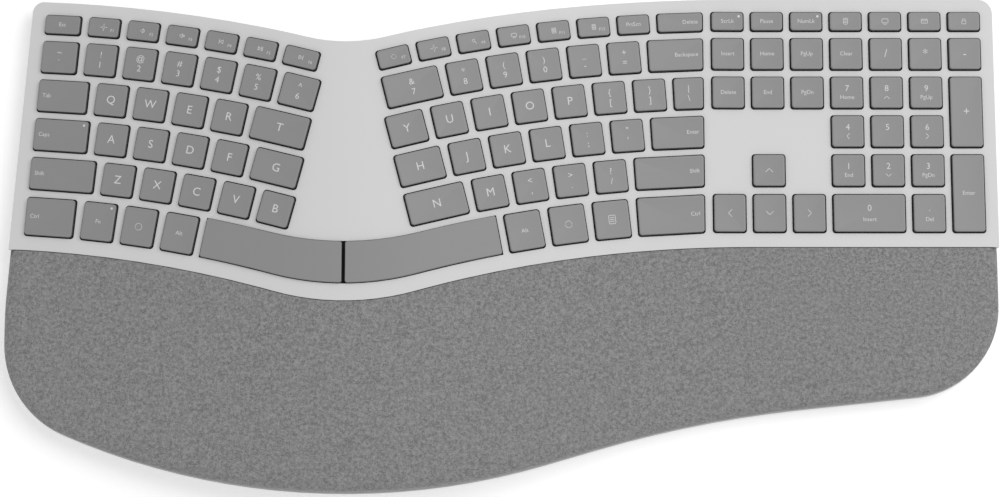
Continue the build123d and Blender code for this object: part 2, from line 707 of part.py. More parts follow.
def rim_edges(body, edge):
    """Top edges of a palm rest layer along the keyboard's outline, without those along the seam."""
    middle_area = inset(PALM_PLAN, edge + COVER_THICKNESS / 2).faces()[0]
    front_area = beside_wave(SEAM_Y - edge - COVER_THICKNESS, SEAM_DIP_RADIUS, -DEPTH).faces()[0]
    chosen = []
    for line in body.edges():
        spot = line @ 0.5
        flat_spot = Vector(spot.X, spot.Y)
        upper = min((line @ 0).Z, (line @ 1).Z) > RIM_TOP + FLOOR_THICKNESS
        if upper and front_area.is_inside(flat_spot) and not middle_area.is_inside(flat_spot):
            chosen.append(line)
    return chosen


def palm_layer(edge, drop, bevel, bottom=RIM_TOP):
    """Palm rest drawn in and lowered, with its upper rim bevelled."""
    body = palm_body(edge, drop, bottom)
    return chamfer(rim_edges(body, edge), bevel)


def make_palm_cover():
    """Fabric skin over the whole palm rest."""
    outer = palm_layer(COVER_INSET, -COVER_PROUD, COVER_BEVEL)
    inner = palm_layer(COVER_INSET + COVER_THICKNESS, COVER_THICKNESS - COVER_PROUD, INNER_BEVEL, 0)
    return outer - inner


FOAM_EDGE = COVER_INSET + COVER_THICKNESS + LAYER_GAP
FOAM_DROP = COVER_THICKNESS - COVER_PROUD + LAYER_GAP
CARRIER_EDGE = FOAM_EDGE + FOAM_THICKNESS + LAYER_GAP
CARRIER_DROP = FOAM_DROP + FOAM_THICKNESS + LAYER_GAP


def make_palm_foam():
    """Foam pad between the fabric and its carrier."""
    outer = palm_layer(FOAM_EDGE, FOAM_DROP, INNER_BEVEL)
    return outer - palm_body(FOAM_EDGE + FOAM_THICKNESS, FOAM_DROP + FOAM_THICKNESS, 0)


def make_palm_carrier():
    """Moulded shell under the foam, with ribs and screw bosses that stand on the base."""
    outer = palm_body(CARRIER_EDGE, CARRIER_DROP, RIM_TOP)
    inner_edge = CARRIER_EDGE + CARRIER_WALL
    hollow = palm_body(inner_edge, CARRIER_DROP + CARRIER_WALL, 0)
    shell = outer - hollow
    backing = palm_body(CARRIER_EDGE + CARRIER_WALL / 2, CARRIER_DROP + CARRIER_WALL / 2, FLOOR_TOP)
    pocket = upright(inset(PALM_PLAN, PALM_LEDGE + RIB_GAP), FLOOR_TOP, RIM_TOP - FLOOR_TOP)
    above = upright(inset(PALM_PLAN, CARRIER_EDGE), RIM_TOP, HIGH)
    for share in CARRIER_RIB_SHARES:
        rib = block(share * WIDTH / 2, -BACK_EDGE / 2, FLOOR_TOP, RIB_THICKNESS, BACK_EDGE, HIGH)
        shell = shell + (rib & backing & (pocket + above))
    for spot in PALM_SCREWS:
        shell = shell + (hexagon(spot, BOSS_SIZE, FLOOR_TOP, HIGH) & backing)
    return shell - [hexagon(spot, SCREW_SHANK, 0, FLOOR_TOP + SCREW_LENGTH) for spot in PALM_SCREWS]


def door_plan(grow):
    """Plan of the battery door, grown all round by a distance."""
    return Pos(CREST_X, BAY_Y) * Rectangle(BAY_WIDTH + 2 * grow, BAY_LENGTH + 2 * grow)


def bottom_plan(spot, length, width, grow=0):
    """Plan with cut corners for a foot or the recess that holds it."""
    half_length = length / 2 + grow
    half_width = width / 2 + grow
    cut = half_width / 2
    points = [
        (-half_length + cut, -half_width), (half_length - cut, -half_width), (half_length, -half_width + cut),
        (half_length, half_width - cut), (half_length - cut, half_width), (-half_length + cut, half_width),
        (-half_length, half_width - cut), (-half_length, -half_width + cut),
    ]
    return Pos(spot[0], spot[1]) * Polygon(*points, align=None)


def make_base_housing():
    """Tray under everything: floor, rim, ribs, battery bay and the holes in its underside."""
    tray = upright(OUTLINE, FOOT_HEIGHT, RIM_TOP)
    lower = [edge for edge in tray.edges() if max((edge @ 0).Z, (edge @ 1).Z) < FOOT_HEIGHT + BASE_EDGE_BEVEL]
    tray = chamfer(lower, BASE_EDGE_BEVEL)
    tray = tray - upright(inset(DECK_PLAN, DECK_LEDGE), FLOOR_TOP, HIGH)
    tray = tray - upright(inset(PALM_PLAN, PALM_LEDGE), FLOOR_TOP, HIGH)
    ribs_room = upright(inset(DECK_PLAN, DECK_LEDGE + RIB_GAP), FLOOR_TOP, HIGH) & under_deck(PLATE_BOTTOM + RIB_GAP)
    mid_y = (BACK_EDGE + SEAM_Y) / 2
    for share in BASE_RIB_SHARES:
        tray = tray + (block(share * WIDTH / 2, mid_y, FLOOR_TOP, RIB_THICKNESS, BACK_EDGE, HIGH) & ribs_room)
    bay = upright(door_plan(BAY_WALL), FLOOR_TOP, BAY_TOP) - upright(door_plan(0), FLOOR_TOP, BAY_TOP)
    tray = tray + bay
    for x in (-1, 1):
        for y in (-1, 1):
            post = (BOARD_X + x * BOARD_LENGTH * STANDOFF_SHARE, BOARD_Y + y * BOARD_WIDTH * STANDOFF_SHARE)
            tray = tray + hexagon(post, BOSS_SIZE, FLOOR_TOP, FLOOR_TOP + BOARD_STANDOFF)
    cuts = [upright(door_plan(-DOOR_LIP), 0, HIGH), upright(door_plan(0), 0, FOOT_HEIGHT + DOOR_THICKNESS)]
    for spot in boss_spots() + list(PALM_SCREWS):
        cuts.append(hexagon(spot, SCREW_SHANK + 4 * SCREW_GAP, 0, FLOOR_TOP))
        cuts.append(hexagon(spot, SCREW_HEAD + 4 * SCREW_GAP, 0, FOOT_HEIGHT + SCREW_HEAD_HEIGHT))
    for spot in boss_spots():
        cuts.append(hexagon(spot, BOSS_SIZE + 2 * RIB_GAP, FLOOR_TOP, HIGH))
    for spot in FEET:
        cuts.append(upright(bottom_plan(spot, FOOT_LENGTH, FOOT_WIDTH, FOOT_GAP), 0, FOOT_HEIGHT + FOOT_RECESS))
    cuts.append(block(BUTTON_X, BUTTON_Y, 0, BUTTON_SIZE + 2 * BUTTON_GAP, BUTTON_SIZE + 2 * BUTTON_GAP, FLOOR_TOP))
    return tray - cuts


def make_feet():
    """Soft pads set into the underside."""
    return [upright(bottom_plan(spot, FOOT_LENGTH, FOOT_WIDTH), 0, FOOT_HEIGHT + FOOT_RECESS) for spot in FEET]


def make_screws():
    """Case screws: a head in the floor and a shank in the boss above it."""
    screws = []
    for spot in boss_spots() + list(PALM_SCREWS):
        head = hexagon(spot, SCREW_HEAD, FOOT_HEIGHT + SCREW_GAP, FOOT_HEIGHT + SCREW_HEAD_HEIGHT)
        top = FOOT_HEIGHT + SCREW_HEAD_HEIGHT + SCREW_LENGTH
        shank = hexagon(spot, SCREW_SHANK - 2 * SCREW_GAP, FOOT_HEIGHT + SCREW_GAP, top)
        screws.append(head + shank)
    return screws


def make_battery_door():
    """Flat door in the floor, with two ribs that press the cells up."""
    door = upright(door_plan(-DOOR_GAP), FOOT_HEIGHT, FOOT_HEIGHT + DOOR_THICKNESS - DOOR_SEAT_GAP)
    rib_plan = Rectangle(RIB_THICKNESS, BAY_LENGTH - 4 * DOOR_LIP)
    rib = Pos(CREST_X, BAY_Y, FOOT_HEIGHT) * extrude(rib_plan, CELL_FLOOR - FOOT_HEIGHT)
    return door + rib


def cell_spots():
    shift = (CELL_DIAMETER + CELL_GAP) / 2
    return (CREST_X - shift, 1), (CREST_X + shift, -1)


def make_cells():
    """Two slim cells side by side, one each way round."""
    cells = []
    for x, way in cell_spots():
        height = CELL_FLOOR + CELL_DIAMETER / 2
        lying = Pos(x, BAY_Y, height) * Rot(-90 * way, 0, 0) * Pos(0, 0, -CELL_LENGTH / 2)
        body = extrude(RegularPolygon(CELL_DIAMETER / 2, CELL_SIDES), CELL_LENGTH)
        nub = Pos(0, 0, CELL_LENGTH) * extrude(RegularPolygon(CELL_NUB_DIAMETER / 2, 6), CELL_NUB_LENGTH)
        cells.append(lying * (body + nub))
    return cells


def make_contacts():
    """Spring plates at both ends of the battery bay."""
    contacts = []
    reach = CELL_LENGTH / 2 + CELL_NUB_LENGTH + CONTACT_GAP + CONTACT_THICKNESS / 2
    for x, way in cell_spots():
        for end in (-1, 1):
            plate = block(x, BAY_Y + end * reach, CELL_FLOOR, CONTACT_HEIGHT, CONTACT_THICKNESS, CONTACT_HEIGHT)
            room = BAY_LENGTH / 2 - reach
            foot = block(
                x, BAY_Y + end * (reach + room / 2), CELL_FLOOR + CONTACT_HEIGHT - CONTACT_THICKNESS,
                CONTACT_HEIGHT / 2, room, CONTACT_THICKNESS,
            )
            contacts.append(plate + foot)
    return contacts


def make_board():
    """Circuit board on four posts, with its chips and the tail's socket."""
    board = block(BOARD_X, BOARD_Y, FLOOR_TOP + BOARD_STANDOFF, BOARD_LENGTH, BOARD_WIDTH, BOARD_THICKNESS)
    for share in CHIP_SHARES:
        board = board + block(BOARD_X + share * BOARD_LENGTH, BOARD_Y, BOARD_TOP, CHIP_SIZE, CHIP_SIZE, CHIP_HEIGHT)
    socket = block(BOARD_X, TAIL_Y, BOARD_TOP, TAIL_WIDTH + 2 * CHIP_HEIGHT, TAIL_THICKNESS * 4, CHIP_HEIGHT)
    return board + socket


def make_pairing_button():
    """Push button in the floor, held by its flange."""
    stem = block(BUTTON_X, BUTTON_Y, FOOT_HEIGHT + BUTTON_SINK, BUTTON_SIZE, BUTTON_SIZE, BUTTON_HEIGHT)
    flange_size = BUTTON_SIZE + 2 * BUTTON_FLANGE
    flange = block(BUTTON_X, BUTTON_Y, FLOOR_TOP + BUTTON_SEAT_GAP, flange_size, flange_size, BUTTON_FLANGE)
    return stem + flange


def lit_keys():
    """Keys that show a small light, by the node of the light."""
    named = {key.node: key for key in KEYS}
    locks = [key for key in KEYS if key.node == "lock_and_pause_keys"]
    return {
        "caps_lock_light": [named["caps_lock"]],
        "fn_lock_light": [named["fn"]],
        "lock_key_lights": [locks[0], locks[-1]],
    }


def lens(key, grow=0):
    """Small light pipe through the top of a cap, or the hole for it."""
    size = LIGHT_SIZE + 2 * grow
    return light_place(key) * prism(Rectangle(size, size), CAP_CEILING - grow, KEY_PROUD + grow)


WIDE_SHARE = 1.9


def main():
    nodes = {
        "base_housing": [make_base_housing()],
        "deck_cover": [make_deck_cover()],
        "key_plate": [make_key_plate()],
        "membrane_circuit": [make_membrane()],
        "palm_rest_cover": [make_palm_cover()],
        "palm_rest_foam": [make_palm_foam()],
        "palm_rest_carrier": [make_palm_carrier()],
        "rubber_feet": make_feet(),
        "case_screws": make_screws(),
        "battery_door": [make_battery_door()],
        "battery_cells": make_cells(),
        "battery_contacts": make_contacts(),
        "controller_board": [make_board()],
        "pairing_button": [make_pairing_button()],
        "left_space_bar": [space_bar(-1)],
        "right_space_bar": [space_bar(1)],
    }
    spaces = [space_key(-1), space_key(1)]
    mechanisms = KEYS + spaces
    nodes["rubber_domes"] = [dome(key.place) for key in mechanisms]
    scissors = [scissor(key) for key in mechanisms if min(key.width, key.depth) > FUNCTION_WELL_DEPTH]
    nodes["scissor_outer_links"] = [forks[0] for forks in scissors]
    nodes["scissor_inner_links"] = [forks[1] for forks in scissors]
    wide = [key for key in mechanisms if max(key.width, key.depth) > WIDE_SHARE * KEY_WELL]
    nodes["stabiliser_wires"] = [stabiliser_wire(key) for key in wide]
    lit = lit_keys()
    for name, keys in lit.items():
        nodes[name] = [lens(key) for key in keys]
    pierced = sum(lit.values(), [])
    for key in KEYS:
        cap = key.place * keycap(key)
        if key in pierced:
            cap = cap - lens(key, LIGHT_GAP)
        nodes.setdefault(key.node, []).append(cap)
    os.makedirs("parts", exist_ok=True)
    for name, solids in nodes.items():
        shape = solids[0] if len(solids) == 1 else Compound(children=solids)
        export_step(shape, f"parts/{name}.step")
        print(name, len(solids))


if __name__ == "__main__":
    main()
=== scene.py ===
import json
import logging
import math
from dataclasses import dataclass, field
from enum import Enum

import bmesh
import bpy
from mathutils import Matrix, Vector, noise
from mathutils.bvhtree import BVHTree

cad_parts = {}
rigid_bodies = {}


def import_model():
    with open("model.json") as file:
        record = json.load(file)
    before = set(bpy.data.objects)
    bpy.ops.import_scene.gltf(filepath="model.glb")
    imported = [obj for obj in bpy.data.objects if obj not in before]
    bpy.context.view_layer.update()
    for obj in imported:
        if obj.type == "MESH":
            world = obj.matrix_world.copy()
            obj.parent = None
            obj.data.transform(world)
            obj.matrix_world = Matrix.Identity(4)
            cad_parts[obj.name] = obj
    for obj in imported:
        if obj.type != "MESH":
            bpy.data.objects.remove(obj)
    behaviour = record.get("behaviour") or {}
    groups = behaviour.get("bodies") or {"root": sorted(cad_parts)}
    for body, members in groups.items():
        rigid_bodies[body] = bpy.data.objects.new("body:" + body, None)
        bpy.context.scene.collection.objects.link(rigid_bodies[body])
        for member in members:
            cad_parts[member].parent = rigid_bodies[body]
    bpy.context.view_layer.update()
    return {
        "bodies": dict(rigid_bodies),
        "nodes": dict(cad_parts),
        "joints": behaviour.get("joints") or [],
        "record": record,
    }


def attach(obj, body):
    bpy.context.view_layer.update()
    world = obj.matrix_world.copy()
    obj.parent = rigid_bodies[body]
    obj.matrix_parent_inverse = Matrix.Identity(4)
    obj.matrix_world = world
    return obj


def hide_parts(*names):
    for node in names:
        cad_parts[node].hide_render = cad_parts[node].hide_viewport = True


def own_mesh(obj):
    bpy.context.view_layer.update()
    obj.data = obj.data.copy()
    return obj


logging.basicConfig(level=logging.INFO, format="%(levelname)s %(message)s")
log = logging.getLogger("keyboard")

MM = 0.001

# Tolerances and limits for reading forms from the solids
MERGE_DISTANCE = 0.001 * MM
CUT_DISTANCE = 0.002 * MM
LEVEL_TOLERANCE = 0.01 * MM
ON_RIM = 0.02 * MM
UPRIGHT = 0.9
DECK_FACING = 0.93
SIDEWAYS = 0.4
STEEP = 0.5
HULL_ANGLE = math.radians(1)
BAR_ANGLE = math.radians(0.4)
SHARP_ANGLE = math.radians(45)
RAY_HEIGHT = 1.0

# Gull-wing section of the deck, as in the solids
DECK_TILT = math.radians(1.5)
CREST_X = -72 * MM
CREST_RADIUS = 270 * MM
WING_SLOPE = math.radians(8)
RIGHT_RUN = 76 * MM
HOLLOW_RADIUS = 560 * MM

# Keycaps
CAP_PROUD = 1.9 * MM
CAP_CORNER_RADIUS = 1.35 * MM
CAP_EDGE_BEVEL = 0.3 * MM
CAP_DISH_INSET = 0.75 * MM
CAP_DISH_DEPTH = 0.12 * MM
CAP_MIN_SIDE = 2.4 * MM
CORNER_SEGMENTS = 4
RIM_SEGMENTS = 2
ROUND_PROFILE = 0.5
ROW_BIN = 9 * MM
CAP_WALL = 0.9 * MM
CAP_HOLLOW = 1.75 * MM
# Faces that face up less than this share get the painted shade of the side walls
PAINTED_SHADE_LEAN = 0.45

# Wells in the deck: their rounded corners, and which walls of the deck are theirs and get painted shade
WELL_GAP = 0.4 * MM
WELL_RADIUS = 1.5 * MM
WELL_CORNER_STEPS = 4
WELL_PROBE = 3
WELL_CORNER_DEPTH = 1.4 * MM
WELL_CORNER_SINK = 0.01 * MM
WELL_WALL = 4.4 * MM
WELL_LOWEST = 7.5 * MM

# What folds under a pressed key, with the share of its height that stays
FOLDING = {"rubber_domes": 0.5, "scissor_outer_links": 0.42, "scissor_inner_links": 0.42}
FOLD_BIN = 0.8 * MM
UNDER_CAP = 9 * MM

# Legends on the keys
LEGEND_LIFT = 0.01 * MM
LEGEND_THICKNESS = 0.015 * MM
LETTER_SIZE = 5.4 * MM
DIGIT_SIZE = 4.1 * MM
WORD_SIZE = 2.7 * MM
TINY_SIZE = 2.0 * MM
STROKE_WIDTH = 0.28 * MM
LEGEND_MARGIN = 2.0 * MM
LEGEND_FINENESS = 3
ICON_SIZE = 1.6 * MM
FUNCTION_ICON_SIZE = 1.3 * MM
FUNCTION_NUMBER_Y = -0.6
PAD_ARROW_SIZE = 1.5 * MM
START_ICON_SIZE = 2.0 * MM
MENU_ICON_SIZE = 2.2 * MM
ARROW_ICON_SIZE = 2 * MM
SHIFTED_SIGN_Y = 0.44
PLAIN_SIGN_Y = -0.46
PAD_SIGN_Y = 0.34
PAD_WORD_Y = -0.45
RING_SIDES = 16
RING_SHARE = 0.8

# Palm rest
RIM_RADIUS = 4.4 * MM
SEAM_RADIUS = 0.7 * MM
RIM_CLEAR = 5.2 * MM
RIM_PROBE = 4 * MM
RIM_RINGS = (0.25, 0.35, 0.5, 0.6, 0.7, 0.8)
SEAM_REACH = 0.42 * MM
SEAM_FRONT = -32 * MM
OUTLINE_STEP = 4 * MM
GRID_MERGE = 0.03 * MM
GRID_STEP = 6 * MM
GRID_SHIFT = 0.537
SKIRT_ROWS = 3
HEM_WIDTH = 2 * MM
HEM_CENTRE_Y = -60 * MM
SEAM_RUN = 0.6
SEAM_SIDE = 0.5
NO_CROWN = 10 * MM
PUFF_HEIGHT = 0.12 * MM
PUFF_SIZE = 28 * MM

# Dark crosses of painted shade that stand for the shaded recesses of the screws
CROSS_TURNS = (0, math.radians(90))
CROSS_LENGTH = 1.1
CROSS_WIDTH = 0.28
CROSS_THICKNESS = 0.05 * MM

# Melange fabric: sizes of its two noises, how they spread from dark to light, and its nap
MELANGE_FINE = 1700.0
MELANGE_BROAD = 620.0
MELANGE_ROUGHNESS = 0.7
MELANGE_SPREAD = (0.4, 0.6)
MELANGE_DARK = 0.68
MELANGE_LIGHT = 1.4
NAP_STRENGTH = 0.5
NAP_HEIGHT = 0.00015

# Camera: distance, lean to the front, the point it looks at, and its focal length for each
# metre of distance and millimetre of sensor
CAMERA_DISTANCE = 1150 * MM
CAMERA_LEAN = math.radians(7.5)
CAMERA_TARGET = Vector((-0.75 * MM, -3.0 * MM, 15 * MM))
CAMERA_FOCUS = 2.1622
SENSOR_WIDTH = 36.0
WORLD_STRENGTH = 0.52
FLOOR_GLOW = 0.2
FLOOR_SIZE = 4

UP = Vector((0, 0, 1))
DOWN = Vector((0, 0, -1))


class Align(Enum):
    """How a legend hangs on its point."""

    LEFT = "LEFT"
    CENTRE = "CENTER"
    RIGHT = "RIGHT"


class Grain(Enum):
    """Kinds of fine surface of a finish."""

    NONE = "none"
    MOULDED = "moulded"
    MELANGE = "melange"
    BRUSHED = "brushed"


@dataclass(frozen=True)
class Relief:
    """Fine bumps of a surface: how dense, how strong and how high."""

    scale: float
    strength: float
    height: float


RELIEFS = {Grain.MOULDED: Relief(3200.0, 0.12, 0.00002), Grain.BRUSHED: Relief(5000.0, 0.1, 0.00001)}


@dataclass(frozen=True)
class Softbox:
    """Square light that looks at the keyboard."""

    name: str
    spot: tuple[float, float, float]
    size: float
    power: float


SOFTBOXES = (
    Softbox("key_light", (0.9, 0.5, 1.6), 1.3, 17.0),
    Softbox("fill_light", (-0.9, -0.7, 1.5), 1.6, 5.0),
)


@dataclass(frozen=True)
class Finish:
    """Look of one material slot."""

    slot: str
    colour: tuple[float, float, float]
    roughness: float
    metallic: float = 0.0
    grain: Grain = Grain.MOULDED
    sheen: float = 0.0


@dataclass(frozen=True)
class Mark:
    """One legend on a key: a word or an icon, at shares of the key's half width and half depth."""

    text: str
    x: float = 0.0
    y: float = 0.0
    size: float = LETTER_SIZE
    align: Align = Align.CENTRE
    icon: bool = False


FINISHES = (
    Finish("deck_plastic", (0.64, 0.64, 0.645), 0.52),
    Finish("base_plastic", (0.68, 0.68, 0.68), 0.5),
    Finish("key_plastic", (0.25, 0.25, 0.253), 0.5),
    Finish("palm_fabric", (0.215, 0.215, 0.217), 0.95, grain=Grain.MELANGE, sheen=0.15),
    Finish("palm_foam", (0.5, 0.5, 0.48), 0.9),
    Finish("carrier_plastic", (0.2, 0.2, 0.2), 0.6),
    Finish("plate_steel", (0.05, 0.05, 0.052), 0.6, 0.3, Grain.BRUSHED),
    Finish("membrane_film", (0.02, 0.02, 0.022), 0.6, grain=Grain.NONE),
    Finish("foot_rubber", (0.04, 0.04, 0.04), 0.85),
    Finish("screw_steel", (0.35, 0.35, 0.36), 0.35, 1.0, Grain.BRUSHED),
    Finish("cell_jacket", (0.05, 0.06, 0.07), 0.35, grain=Grain.NONE),
    Finish("contact_metal", (0.7, 0.68, 0.62), 0.3, 1.0, Grain.BRUSHED),
    Finish("board_laminate", (0.02, 0.12, 0.05), 0.4, grain=Grain.NONE),
    Finish("button_plastic", (0.08, 0.08, 0.085), 0.5),
    Finish("dome_rubber", (0.5, 0.5, 0.49), 0.6),
    Finish("link_plastic", (0.55, 0.55, 0.53), 0.5),
    Finish("wire_steel", (0.5, 0.5, 0.52), 0.3, 1.0, Grain.BRUSHED),
    Finish("light_lens", (0.62, 0.63, 0.62), 0.25, grain=Grain.NONE),
)
# Painted shade: dark finish on the keycaps' side walls, where the gap round each cap lies in shade; the
# caps are the same grey plastic there
PAINTED_SIDE_SHADE_FINISH = Finish("key_side_painted_shade", (0.07, 0.07, 0.072), 0.6)
LEGEND_FINISH = Finish("legend_print", (0.62, 0.62, 0.62), 0.6, grain=Grain.NONE)
FLOOR_FINISH = Finish("table_paper", (0.93, 0.93, 0.93), 0.9, grain=Grain.NONE)

RING = tuple(
    (RING_SHARE * math.cos(math.tau * i / RING_SIDES), RING_SHARE * math.sin(math.tau * i / RING_SIDES))
    for i in range(RING_SIDES + 1)
)

# Icons as lines through points, in shares of the icon's half size
ICONS = {
    "up": (((-0.8, -0.4), (0, 0.4), (0.8, -0.4)),),
    "down": (((-0.8, 0.4), (0, -0.4), (0.8, 0.4)),),
    "left": (((0.4, 0.8), (-0.4, 0), (0.4, -0.8)),),
    "right": (((-0.4, 0.8), (0.4, 0), (-0.4, -0.8)),),
    "menu": (
        ((-0.7, -0.9), (0.7, -0.9), (0.7, 0.9), (-0.7, 0.9), (-0.7, -0.9)),
        ((-0.4, 0.4), (0.4, 0.4)), ((-0.4, 0), (0.4, 0)), ((-0.4, -0.4), (0.4, -0.4)),
    ),
    "sun": (
        (
            (-0.5, 0), (-0.35, 0.35), (0, 0.5), (0.35, 0.35), (0.5, 0),
            (0.35, -0.35), (0, -0.5), (-0.35, -0.35), (-0.5, 0),
        ),
        ((-1.2, 0), (-0.85, 0)), ((1.2, 0), (0.85, 0)), ((0, 1.2), (0, 0.85)), ((0, -1.2), (0, -0.85)),
    ),
    "speaker": (
        ((-0.8, -0.3), (-0.4, -0.3), (0.1, -0.8), (0.1, 0.8), (-0.4, 0.3), (-0.8, 0.3), (-0.8, -0.3)),
        ((0.45, -0.4), (0.65, 0), (0.45, 0.4)),
    ),
    "mute": (
        ((-0.8, -0.3), (-0.4, -0.3), (0.1, -0.8), (0.1, 0.8), (-0.4, 0.3), (-0.8, 0.3), (-0.8, -0.3)),
        ((0.4, -0.3), (0.9, 0.3)), ((0.4, 0.3), (0.9, -0.3)),
    ),
    "previous": (((0.7, 0.7), (-0.4, 0), (0.7, -0.7), (0.7, 0.7)), ((-0.7, 0.7), (-0.7, -0.7))),
    "next": (((-0.7, 0.7), (0.4, 0), (-0.7, -0.7), (-0.7, 0.7)), ((0.7, 0.7), (0.7, -0.7))),
    "play": (
        ((-0.8, 0.7), (0.1, 0), (-0.8, -0.7), (-0.8, 0.7)),
        ((0.4, 0.7), (0.4, -0.7)), ((0.8, 0.7), (0.8, -0.7)),
    ),
    "search": (
        ((-0.6, 0.1), (-0.3, 0.6), (0.2, 0.6), (0.4, 0.1), (0.2, -0.3), (-0.3, -0.3), (-0.6, 0.1)),
        ((0.3, -0.3), (0.8, -0.9)),
    ),
    "screen": (
        ((-0.9, -0.5), (0.9, -0.5), (0.9, 0.7), (-0.9, 0.7), (-0.9, -0.5)),
        ((-0.4, -0.9), (0.4, -0.9)),
    ),
    "mail": (
        ((-0.9, -0.6), (0.9, -0.6), (0.9, 0.6), (-0.9, 0.6), (-0.9, -0.6)),
        ((-0.9, 0.6), (0, -0.1), (0.9, 0.6)),
    ),
    "counter": (
        ((-0.6, -0.9), (0.6, -0.9), (0.6, 0.9), (-0.6, 0.9), (-0.6, -0.9)), ((-0.3, 0.5), (0.3, 0.5)),
        ((-0.3, 0), (0.3, 0)), ((-0.3, -0.4), (0.3, -0.4)),
    ),
    "padlock": (
        ((-0.6, -0.8), (0.6, -0.8), (0.6, 0.1), (-0.6, 0.1), (-0.6, -0.8)),
        ((-0.35, 0.1), (-0.35, 0.7), (0.35, 0.7), (0.35, 0.1)),
    ),
    "ring": (RING,),
}


def letter(text: str) -> tuple[Mark, ...]:
    """Single sign in the middle of a key."""
    return (Mark(text),)


def pair(upper: str, lower: str) -> tuple[Mark, ...]:
    """Shifted sign above the plain one."""
    return (Mark(upper, y=SHIFTED_SIGN_Y, size=DIGIT_SIZE), Mark(lower, y=PLAIN_SIGN_Y, size=DIGIT_SIZE))


def word(text: str, align: Align = Align.CENTRE) -> tuple[Mark, ...]:
    """Small word on a key's middle line."""
    share = {Align.LEFT: -1.0, Align.CENTRE: 0.0, Align.RIGHT: 1.0}[align]
    return (Mark(text, x=share, size=WORD_SIZE, align=align),)


def icon(name: str, size: float = ICON_SIZE) -> tuple[Mark, ...]:
    """Icon in the middle of a key."""
    return (Mark(name, size=size, icon=True),)


def function_key(name: str, number: int) -> tuple[Mark, ...]:
    """Icon with the small number of a function key."""
    small = Mark(f"F{number}", x=1.0, y=FUNCTION_NUMBER_Y, size=TINY_SIZE, align=Align.RIGHT)
    return (Mark(name, size=FUNCTION_ICON_SIZE, icon=True), small)


def number_pad(digit: str, lower: str, arrow: bool = False) -> tuple[Mark, ...]:
    """Digit above a word or an arrow."""
    low = Mark(lower, y=PAD_WORD_Y, size=PAD_ARROW_SIZE if arrow else WORD_SIZE, icon=arrow)
    return (Mark(digit, y=PAD_SIGN_Y, size=DIGIT_SIZE), low)


# Legends by node; keys of one node run from left to right, and from the back row to the front
LEGENDS = {
    "esc": (word("Esc"),),
    "left_function_keys": tuple(
        function_key(name, number)
        for number, name in enumerate(("sun", "speaker", "mute", "previous", "play", "next"), 1)
    ),
    "right_function_keys": tuple(
        function_key(name, number)
        for number, name in enumerate(("ring", "sun", "search", "screen", "menu", "counter"), 7)
    ) + (word("PrtScn"), word("Delete", Align.RIGHT)),
    "left_number_keys": tuple(pair(a, b) for a, b in ("~`", "!1", "@2", "#3", "$4", "%5", "^6")),
    "right_number_keys": tuple(pair(a, b) for a, b in ("&7", "*8", "(9", ")0", "_-", "+=")),
    "left_upper_letters": tuple(letter(c) for c in "QWERT"),
    "left_home_letters": tuple(letter(c) for c in "ASDFG"),
    "left_lower_letters": tuple(letter(c) for c in "ZXCVB"),
    "right_upper_keys": tuple(letter(c) for c in "YUIOP") + (
        pair("{", "["), pair("}", "]"), pair("|", "\\"),
    ),
    "right_home_keys": tuple(letter(c) for c in "HJKL") + (pair(":", ";"), pair('"', "'")),
    "right_lower_keys": tuple(letter(c) for c in "NM") + (
        pair("<", ","), pair(">", "."), pair("?", "/"),
    ),
    "tab": (word("Tab", Align.LEFT),),
    "caps_lock": (word("Caps", Align.LEFT),),
    "left_shift": (word("Shift", Align.LEFT),),
    "left_ctrl": (word("Ctrl", Align.LEFT),),
    "fn": (word("Fn"),),
    "left_start": (icon("ring", START_ICON_SIZE),),
    "left_alt": (word("Alt"),),
    "right_alt": (word("Alt"),),
    "right_start": (icon("ring", START_ICON_SIZE),),
    "context_menu": (icon("menu", MENU_ICON_SIZE),),
    "right_ctrl": (word("Ctrl", Align.RIGHT),),
    "right_shift": (word("Shift", Align.RIGHT),),
    "enter": (word("Enter", Align.RIGHT),),
    "backspace": (word("Backspace", Align.RIGHT),),
    "lock_and_pause_keys": (word("ScrLk"), word("Pause"), word("NumLk")),
    "media_keys": (icon("counter"), icon("screen"), icon("mail"), icon("padlock")),
    "navigation_keys": tuple(word(t) for t in ("Insert", "Home", "PgUp", "Delete", "End", "PgDn")),
    "numpad_operators": (word("Clear"), letter("/"), letter("*"), letter("-")),
    "numpad_digits": (
        number_pad("7", "Home"), number_pad("8", "up", True), number_pad("9", "PgUp"),
        number_pad("4", "left", True), (Mark("5", y=PAD_SIGN_Y, size=DIGIT_SIZE),),
        number_pad("6", "right", True), number_pad("1", "End"), number_pad("2", "down", True),
        number_pad("3", "PgDn"), number_pad(".", "Del"),
    ),
    "numpad_zero": (number_pad("0", "Insert"),),
    "numpad_plus": (letter("+"),),
    "numpad_enter": (word("Enter"),),
    "arrow_up": (icon("up", ARROW_ICON_SIZE),),
    "arrow_left": (icon("left", ARROW_ICON_SIZE),),
    "arrow_down": (icon("down", ARROW_ICON_SIZE),),
    "arrow_right": (icon("right", ARROW_ICON_SIZE),),
}
SPACE_BARS = ("left_space_bar", "right_space_bar")


def link_value(tree: bpy.types.NodeTree, kind: str, **settings: float) -> bpy.types.Node:
    """Adds a shader node and sets its plain input sockets.

    Args:
        tree: Node tree of the material.
        kind: Blender's name of the node.
        **settings: Values by socket name.

    Returns:
        The new node.
    """
    node = tree.nodes.new(kind)
    for name, value in settings.items():
        node.inputs[name].default_value = value
    return node


